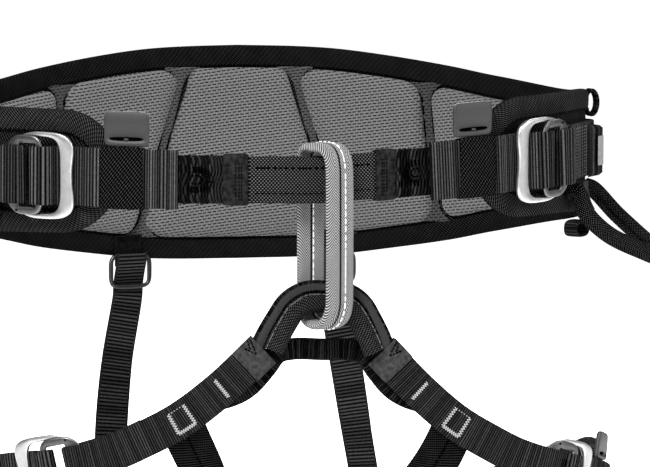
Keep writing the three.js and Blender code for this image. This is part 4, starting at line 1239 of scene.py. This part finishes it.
def belay_line(steps=88):
    turn = math.radians(BELAY.turn)
    forward = Vector((math.sin(turn), -math.cos(turn), 0))
    across = Vector((math.cos(turn), math.sin(turn), 0))
    middle = (BELAY.top + BELAY.bottom) / 2
    half = (BELAY.top - BELAY.bottom) / 2
    reach = BELAY.half_depth
    straight = half - BELAY_THICK / 2 - reach
    points = []
    for angle in turns_round(steps):
        power = BELAY_POWER["top" if math.sin(angle) > 0 else "bottom"]
        rise = squared(math.sin(angle), power) * reach
        height = rise + math.copysign(straight, rise)
        bow = BELAY.bow * abs(height / half) ** 2.5
        out = squared(math.cos(angle), power) * reach
        points.append(Vector((BELAY.x, BELAY.y, middle + height)) + forward * out - across * bow)
    return Line(points, across, 0.8, closed=True)


belay = belay_line()
strap("belay_webbing", belay, crown=0.25)
outward = math.copysign(1, belay.out[0].dot(belay.at[0] - Vector((BELAY.x, BELAY.y, 0))))
for place, face, side in (("outside", outward, 1.9), ("inside", -outward, 0)):
    ways = [out * face for out in belay.out]
    row = []
    for at, way, across in zip(belay.at, ways, belay.across):
        row.append(at + way * (BELAY_THICK / 2 + 0.25) + across * side)
    sew(f"belay_thread_{place}", "belay", [(row, ways)])

# Lower tie-in loop and bridge, right halves as (x, y, z) rows from the middle outward
LOWER_Y = -125.5
ARCH_SLEEVE_RADIUS = 5.6
BAND_END = Sizes(wider=0.4, flatter=0.62, back=3.6, beyond=3, inward=2.6)
ARCH_PATH = [(0, -65.7), (8.8, -65.9), (15.4, -69.8), (20, -77), (24.3, -85), (27.3, -92)]
BRIDGE_PATH = [
    (0, -118.3, -91.8), (16, -118.3, -91.8), (24, -118.5, -94), (30.6, -118.6, -102.6),
    (40.2, -119.4, -113.2), (58, -121, -123.5),
]


def front_line(rows):
    """Line through both halves that faces the front."""
    points = [hung(-1, *row) for row in reversed(rows[1:])] + [hung(1, *row) for row in rows]
    return Line(points, FORWARD, facing=True)


def outward_ways(line):
    """Ways square to a line and to straight ahead, upward at its middle."""
    ways = []
    for index in range(len(line.at)):
        tangent = line.at[min(index + 1, len(line.at) - 1)] - line.at[max(index - 1, 0)]
        ways.append(tangent.normalized().cross(FORWARD).normalized())
    return ways if ways[len(ways) // 2].z > 0 else [-way for way in ways]


def band_shape(share):
    """How much wider and flatter the band is at a share of its length, more so towards its ends."""
    end = abs(2 * share - 1) ** 3
    return 1.05 + BAND_END.wider * end, 1 - BAND_END.flatter * end


def bridge_shape(share):
    """The bridge narrows at its ends, where it goes under the leg straps."""
    return 1 - 0.65 * abs(2 * share - 1) ** 8, 1


def arch():
    """Knit sleeve, the band sewn along its outside that slips under the tapes, and the bridge."""
    line = front_line([(x, LOWER_Y, z) for x, z in ARCH_PATH])
    ribs = Ribs(41, line.length, **RIBS["sleeve"])
    tube("tie_sleeve", line, ARCH_SLEEVE_RADIUS, "sleeve", "lower_tie_in_sleeve", ribs)

    ways = outward_ways(line)
    points = []
    for index, (at, way) in enumerate(zip(line.at, ways)):
        wide, flat = band_shape(index / (len(ways) - 1))
        reach = ARCH_SLEEVE_RADIUS - 0.4 + wide * BAND_WIDTH / 2 - BAND_END.inward * (1 - flat)
        points.append(at + way * reach - FORWARD * BAND_END.back * (1 - flat))
    first = points[0] + (points[0] - points[6]).normalized() * BAND_END.beyond
    last = points[-1] + (points[-1] - points[-7]).normalized() * BAND_END.beyond
    strap("tie_band", Line([first] + points[::6] + [last], FORWARD, facing=True), shape=band_shape)

    # Pale seam thread along the sleeve's top: a real seam whose light line also stands in for a painted
    # highlight.
    row = [at + FORWARD * 3.2 + way * (ARCH_SLEEVE_RADIUS - 0.7) for at, way in zip(line.at, ways)]
    sew("tie_sleeve_thread_and_highlight", "sleeve", [(row, FORWARD)])
    strap("bridge_webbing", front_line(BRIDGE_PATH), wave=0.12, shape=bridge_shape)


arch()

# Leg loops
LEG_END = Sizes(drop=2.2, length=26)
BAR_STITCH = Sizes(
    short=31, square=(53, 63), dark=(101, 103.2), reach=6, dark_reach=9, half=1.1,
    level=WEB_THICK / 2 + 0.05)
TAPE_MARKS = [((2, 10), (5, 1)), ((5, 1), (7.5, 8)), ((3.4, 10.4), (6.2, 4.5))]
TAPE_FACE = 3.4
BRIDGE_TAPE = Sizes(start=0.5, end=14.4, offset=2, crown=1.2)
PAD_EDGE = [
    (1, 0), (1, 0.3), (0.985, 0.62), (0.95, 0.86), (0.9, 0.95), (0.82, 0.95), (0.78, 0.72), (0.72, 0.9),
]
PAD_CROWN = 0.12


def leg_pad(name, sign):
    """Padded leg band with a bound edge, crowned between its seams."""
    outer = PAD_EDGE + [(up, 1 + PAD_CROWN * (1 - up * up)) for up in spread(0.6, -0.6, 9)]
    outer += [(-up, deep) for up, deep in reversed(PAD_EDGE)]
    section = outer + [(up, -deep) for up, deep in reversed(outer)][1:-1]
    rows = []
    for angle in spread(LEG_PAD.keys[0], LEG_PAD.keys[-1], 150):
        middle = LEG_PAD.at(angle, "middle")
        half = LEG_PAD.at(angle, "half")
        along = math.radians(angle) * THIGH.half_depth
        row = []
        for up, deep in section:
            point = on_thigh(sign, angle, PAD_SHIFT + deep * PAD_HALF, middle + up * half)
            row.append((point, (along, up * half), 0.9 if abs(up) > 0.75 else 0.4))
        rows.append(row)
    loft(f"{name}_cushion", rows, "cordura", name)


def zigzag(track, start, end, low, high, count):
    """Close zigzag of thread along a bar on a strap, from one place to another and between two sides."""
    level = BAR_STITCH.level
    lengthwise = abs(end - start) > abs(high - low)
    ends = []
    for index in range(count + 1):
        swing = BAR_STITCH.half if index % 2 else -BAR_STITCH.half
        along = lerp(start, end, index / count) + (0 if lengthwise else swing)
        ends.append((along, level, lerp(low, high, index / count) + (swing if lengthwise else 0)))
    return [(track(*first), track(*last), face_way(track, *first)) for first, last in zip(ends, ends[1:])]


def bar_stitches(name, track):
    """One short bar across the strap, three sides of a square with a dotted fourth, and a dark band."""
    level = BAR_STITCH.level
    reach = BAR_STITCH.reach
    near, far = BAR_STITCH.square
    found = zigzag(track, BAR_STITCH.short, BAR_STITCH.short, -reach, reach, 18)
    for along in (near, far):
        found += zigzag(track, along, along, -reach, reach, 16)
    found += zigzag(track, near, far, -reach, -reach, 16)
    row = [track(along, level, reach) for along in spread(near, far, 60)]
    found += running_stitch(row, [face_way(track, near, level)] * len(row), *THREADS["bar"][3:])
    stitches(f"leg_bar_thread_{name}", "bar", found)
    reach = BAR_STITCH.dark_reach
    found = [spot for along in BAR_STITCH.dark for spot in zigzag(track, along, along, -reach, reach, 26)]
    stitches(f"leg_dark_thread_{name}", "dark_bar", found)


def leg_loop(name, sign):
    track, total, rows_at = space_track(sign, LEG_TRACK)
    start = total - rows_at[LEG_BUCKLE_ROW] - (FRAME.start + FRAME.end) / 2

    def inward(along, offset, height):
        return track(total - along, offset, height)

    at_buckle = shifted(inward, start, LEG_BASE)
    buckle("leg", "leg_buckle", name, at_buckle, LEG_WEB, 1)
    rows = []
    for along in spread(-start, -6, 20):
        rows.append((along, -LEG_END.drop * max(0, 1 - (start + along) / LEG_END.length) ** 2))
    strap("leg_outer_webbing", track_line(at_buckle, rows + LEG_OUTER_END), name)
    rows = LEG_START + stretch(72, total - start, -LEG_BASE, 12)
    strap("leg_webbing", track_line(at_buckle, rows), name)
    bar_stitches(name, track)
    tab_plate(f"leg_tab_{name}", at_buckle, LEG_TAB, f"leg_retainer_{name}")

    rows = stretch(BRIDGE_TAPE.start, BRIDGE_TAPE.end, BRIDGE_TAPE.offset, 3)
    strap("bridge_cover", track_line(track, rows), name, crown=BRIDGE_TAPE.crown)
    rows = []
    for (near, low), (far, high) in TAPE_MARKS:
        marks = zip(spread(near, far, 40), spread(low, high, 40))
        rows.append(([track(along, TAPE_FACE, height) for along, height in marks], FORWARD))
    sew(f"bridge_mark_{name}", "mark", rows)


def thigh_strap(name, sign):
    """Strap between the thighs with a sewn middle line."""
    track, total, _ = space_track(sign, THIGH_PATH)
    strap("thigh_webbing", track_line(track, stretch(0, total, 0, 16), 0.8), name)
    places = spread(1, total - 1, 500)
    row = [track(along, WEB_THICK / 2, 0) for along in places]
    sew(f"thigh_seam_{name}", "thigh", [(row, [face_way(track, along, 1) for along in places])])


for name, sign in SIDES.items():
    leg_loop(name, sign)
    thigh_strap(name, sign)
    leg_pad(f"leg_pad_{name}", sign)

# Rear straps: on the belt as (x, offset, z) rows, free as (x, y, z) rows and on the pad as (x, z) rows
REAR_X = 66
REAR_ANCHOR = Sizes(top=-50, bottom=-69, offset=-5.2)
REAR_ROWS = (-51.2, -52.4, -53.6)
REAR_BUCKLE = Sizes(top=-60.5, bottom=-83, half_width=14.8, bar=3, near=-6.3, far=-9.1, bevel=1.2)
REAR_PATH = [(66, -10.8, -60.5), (66, -10.5, -65), (66, -7.6, -72), (66, -4.6, -81), (66.3, -4.4, -88)]
REAR_FOOT = [(72, 108, -130), (77, 98, -172)]
REAR_SEWN = [(79.5, -200), (80.5, -214), (81, -228)]
REAR_PAD_ANGLE = 191
REAR_TWIST = Sizes(belt_z=-100, pad_z=-195)


def arc_at_x(x):
    return arc_at(math.degrees(math.asin(x / WAIST_HALF_WIDTH)))


def rear_strap(name, sign):
    arc = arc_at_x(sign * REAR_X + REAR_DRIFT)
    on_belt = face_way(on_waist, arc)
    offset = REAR_ANCHOR.offset
    points = [on_waist(arc, offset, z) for z in spread(REAR_ANCHOR.top, REAR_ANCHOR.bottom, 4)]
    strap("rear_patch", Line(points, on_belt, facing=True), name)
    offset -= REAR_THICK / 2
    rows = []
    for z in REAR_ROWS:
        rows.append(([on_waist(arc + along, offset, z) for along in spread(-8, 8, 80)], -on_belt))
    sew(f"rear_patch_thread_{name}", "rear", rows)

    middle = (REAR_BUCKLE.top + REAR_BUCKLE.bottom) / 2
    half = (REAR_BUCKLE.top - REAR_BUCKLE.bottom) / 2
    wide = REAR_BUCKLE.half_width
    bar = REAR_BUCKLE.bar
    outer = rounded_outline(-wide, wide, half, 4, 4)
    inner = rounded_outline(bar - wide, wide - bar, half - bar, 7, 7)
    ring_plate(f"rear_ladder_{name}", outer, inner, REAR_BUCKLE.far, REAR_BUCKLE.near,
               shifted(on_waist, arc, 0, middle), "dark_plate", f"rear_buckle_{name}", REAR_BUCKLE.bevel)

    points = [on_waist(arc_at_x(sign * x + REAR_DRIFT), offset, z) for x, offset, z in REAR_PATH]
    for x, y, z in REAR_FOOT:
        points.append(Vector((sign * x + REAR_DRIFT, y, hung(sign, x, y, z).z)))
    for x, z in REAR_SEWN:
        lean = (x + sign * REAR_DRIFT - THIGH.x) / THIGH.half_width
        angle = 180 - math.degrees(math.asin(lean))
        points.append(on_thigh(sign, angle, PAD_SHIFT + PAD_HALF + GAP + REAR_THICK, z))
    on_pad = face_way(partial(on_thigh, sign), REAR_PAD_ANGLE)
    ways = [on_belt.lerp(on_pad, blend(REAR_TWIST.belt_z, REAR_TWIST.pad_z, at.z)) for at in points]
    strap("rear_webbing", Line(points, ways, facing=True), name)


for name, sign in SIDES.items():
    rear_strap(name, sign)

# Gear loops as (angle, offset, z) rows, tongues as (offset, z) rows, side tabs and small loops
GEAR_RADIUS = 5
GEAR_PATH = [
    (120, 5.7, -14.8), (120, 10, -15.6), (119, 14, -27), (114, 22, -40.5), (107, 37, -52), (99.5, 50, -59),
    (94, 44, -52), (91, 24, -32), (90, 10, -16.8), (90, 5.6, -15.2),
]
GEAR_FACING_ANGLE = 100
TONGUE_ANGLE = 114
TONGUE = [(8.3, -10.5), (8.6, -16), (10, -22), (12.5, -27)]
SIDE_TAB = Sizes(start=196, end=242, low=-9, high=21, near=7.7, edge=9.7, far=12.4)
PALE_PATCH = Sizes(start=200.5, end=232, z=6)
SMALL_LOOPS = {
    "top": Sizes(angle=89, offset=9.05, z=34.3, half_out=3.6, half_high=7.2, turn=0, power=2),
    "bottom": Sizes(angle=88, offset=2, z=-40.3, half_out=6.8, half_high=4, turn=40, power=3),
}


def small_loop(place, name, sign):
    size = SMALL_LOOPS[place]
    arc = sign * arc_at(size.angle)
    middle = on_waist(arc, size.offset, size.z)
    across = on_waist(arc + 1, 0, 0) - on_waist(arc - 1, 0, 0)
    across.z = 0
    across.normalize()
    across.rotate(Quaternion(UP, sign * math.radians(size.turn)))
    points = []
    for angle in turns_round(32):
        out = across.cross(UP) * size.half_out * squared(math.cos(angle), size.power)
        points.append(middle + out + UP * size.half_high * squared(math.sin(angle), size.power))
    strap(f"cord_loop_{place}", Line(points, across, 0.4, closed=True), name)


def on_side(sign, along, offset, height):
    """Point on the belt by distance from the middle of the front."""
    return on_waist(sign * (HALF_GIRTH - along), offset, height)


def side_tab(name, sign):
    """Doubled webbing tab that swells off the belt's side."""
    start, end, low, high, near, edge, most = vars(SIDE_TAB).values()
    ribs = Ribs(95 + sign, end, **RIBS["side"])
    rows = []
    for share in spread(0, 1, 60):
        along = lerp(start, end, share)
        far = lerp(edge, most, blend(0, 0.3, min(share, 1 - share)))
        rounding = [(0, near), (0.5, lerp(near, far, 0.6)), (2, far)]
        section = [(along, offset, low + up) for up, offset in rounding]
        section += [(along, far, height) for height in spread(low + 4, high - 4, 7)]
        section += [(along, offset, high - up) for up, offset in reversed(rounding)]
        # Tone from the ribs: painted highlight on rib crests and painted shade between them, though this tab
        # has no raised ribs.
        rows.append(spots(partial(on_side, sign), section, ribs.at(along)[1]))
    loft(f"side_patch_{name}", rows, "webbing", f"side_tab_{name}")


def belt_side(name, sign):
    points = [on_waist(sign * arc_at(angle), offset, z) for angle, offset, z in GEAR_PATH]
    way = (UP + face_way(on_waist, sign * arc_at(GEAR_FACING_ANGLE))).normalized()
    line = Line(points, way, 0.6, facing=True)
    tube(f"gear_sleeve_{name}", line, GEAR_RADIUS, "cord", f"gear_loop_{name}")
    side_tab(name, sign)
    rows = stretch(PALE_PATCH.start, PALE_PATCH.end, SIDE_TAB.far + 0.2, 6)
    strap("pale_patch", track_line(shifted(partial(on_side, sign), 0, 0, PALE_PATCH.z), rows), name)
    arc = sign * arc_at(TONGUE_ANGLE)
    points = [on_waist(arc, offset, z) for offset, z in TONGUE]
    strap("gear_tongue", Line(points, face_way(on_waist, arc), facing=True), name)
    for place in SMALL_LOOPS:
        small_loop(place, name, sign)


for name, sign in SIDES.items():
    belt_side(name, sign)

# Stage: white floor and world, soft lights, and the photograph's camera; in metres
WHITE = (1, 1, 1, 1)
FLOOR = Sizes(drop=0.06, half=300.0, colour=(0.9, 0.9, 0.9, 1), roughness=0.9, glow=0.75)
WORLD_LIGHT = 0.3
LIGHTS = [
    dict(name="key", place=(-1.0, -1.4, 1.6), target=(0, 0, -0.05), size=0.8, power=95),
    dict(name="fill", place=(1.6, -1.0, 0.8), target=(0, 0, -0.1), size=0.8, power=24),
    dict(name="back", place=(0.4, 1.6, 1.2), target=(0, 0, -0.05), size=1.0, power=55),
]
AZIMUTH = math.radians(-10)
ELEVATION = math.radians(4)
DISTANCE = 1.6
SENSOR = 36.0
PHOTO = Sizes(width=650, height=467, focal=2759, middle_x=272, middle_y=165)


def floor():
    low = cad_box[0][2] - FLOOR.drop
    half = FLOOR.half
    mesh = bpy.data.meshes.new("floor")
    corners = [(-half, -half, low), (half, -half, low), (half, half, low), (-half, half, low)]
    mesh.from_pydata(corners, [], [(0, 1, 2, 3)])
    material = bpy.data.materials.new("pale_floor")
    material.use_nodes = True
    inputs = material.node_tree.nodes["Principled BSDF"].inputs
    inputs["Base Color"].default_value = FLOOR.colour
    inputs["Roughness"].default_value = FLOOR.roughness
    inputs["Emission Color"].default_value = WHITE
    inputs["Emission Strength"].default_value = FLOOR.glow
    mesh.materials.append(material)
    add_object("floor", mesh)


def world():
    """White where the camera sees it, and a soft light on the part."""
    studio = bpy.data.worlds.new("studio")
    studio.use_nodes = True
    tree = studio.node_tree
    soft = tree.nodes["Background"]
    soft.inputs["Strength"].default_value = WORLD_LIGHT
    seen = tree.nodes.new("ShaderNodeBackground")
    choice = tree.nodes.new("ShaderNodeMixShader")
    ray = tree.nodes.new("ShaderNodeLightPath")
    tree.links.new(ray.outputs["Is Camera Ray"], choice.inputs[0])
    for background, socket in zip((soft, seen), choice.inputs[1:]):
        background.inputs["Color"].default_value = WHITE
        tree.links.new(background.outputs[0], socket)
    tree.links.new(choice.outputs[0], tree.nodes["World Output"].inputs["Surface"])
    bpy.context.scene.world = studio


def look_at(obj, place, target):
    obj.location = place
    obj.rotation_euler = (Vector(target) - Vector(place)).to_track_quat("-Z", "Y").to_euler()


def area_light(name, place, target, size, power):
    light = bpy.data.lights.new(name, "AREA")
    light.energy = power
    light.size = size
    look_at(add_object(name, light), place, target)


def place_camera():
    data = bpy.data.cameras.new("camera")
    data.sensor_width = SENSOR
    data.lens = PHOTO.focal * SENSOR / PHOTO.width
    data.shift_x = (PHOTO.width / 2 - PHOTO.middle_x) / PHOTO.width
    data.shift_y = (PHOTO.middle_y - PHOTO.height / 2) / PHOTO.width
    data.clip_end = 1000
    level = DISTANCE * math.cos(ELEVATION)
    place = (level * math.sin(AZIMUTH), -level * math.cos(AZIMUTH), DISTANCE * math.sin(ELEVATION))
    camera = add_object("camera", data)
    look_at(camera, place, (0, 0, 0))
    bpy.context.scene.camera = camera


floor()
world()
for light in LIGHTS:
    area_light(**light)
place_camera()
bpy.context.scene.view_settings.view_transform = "Standard"
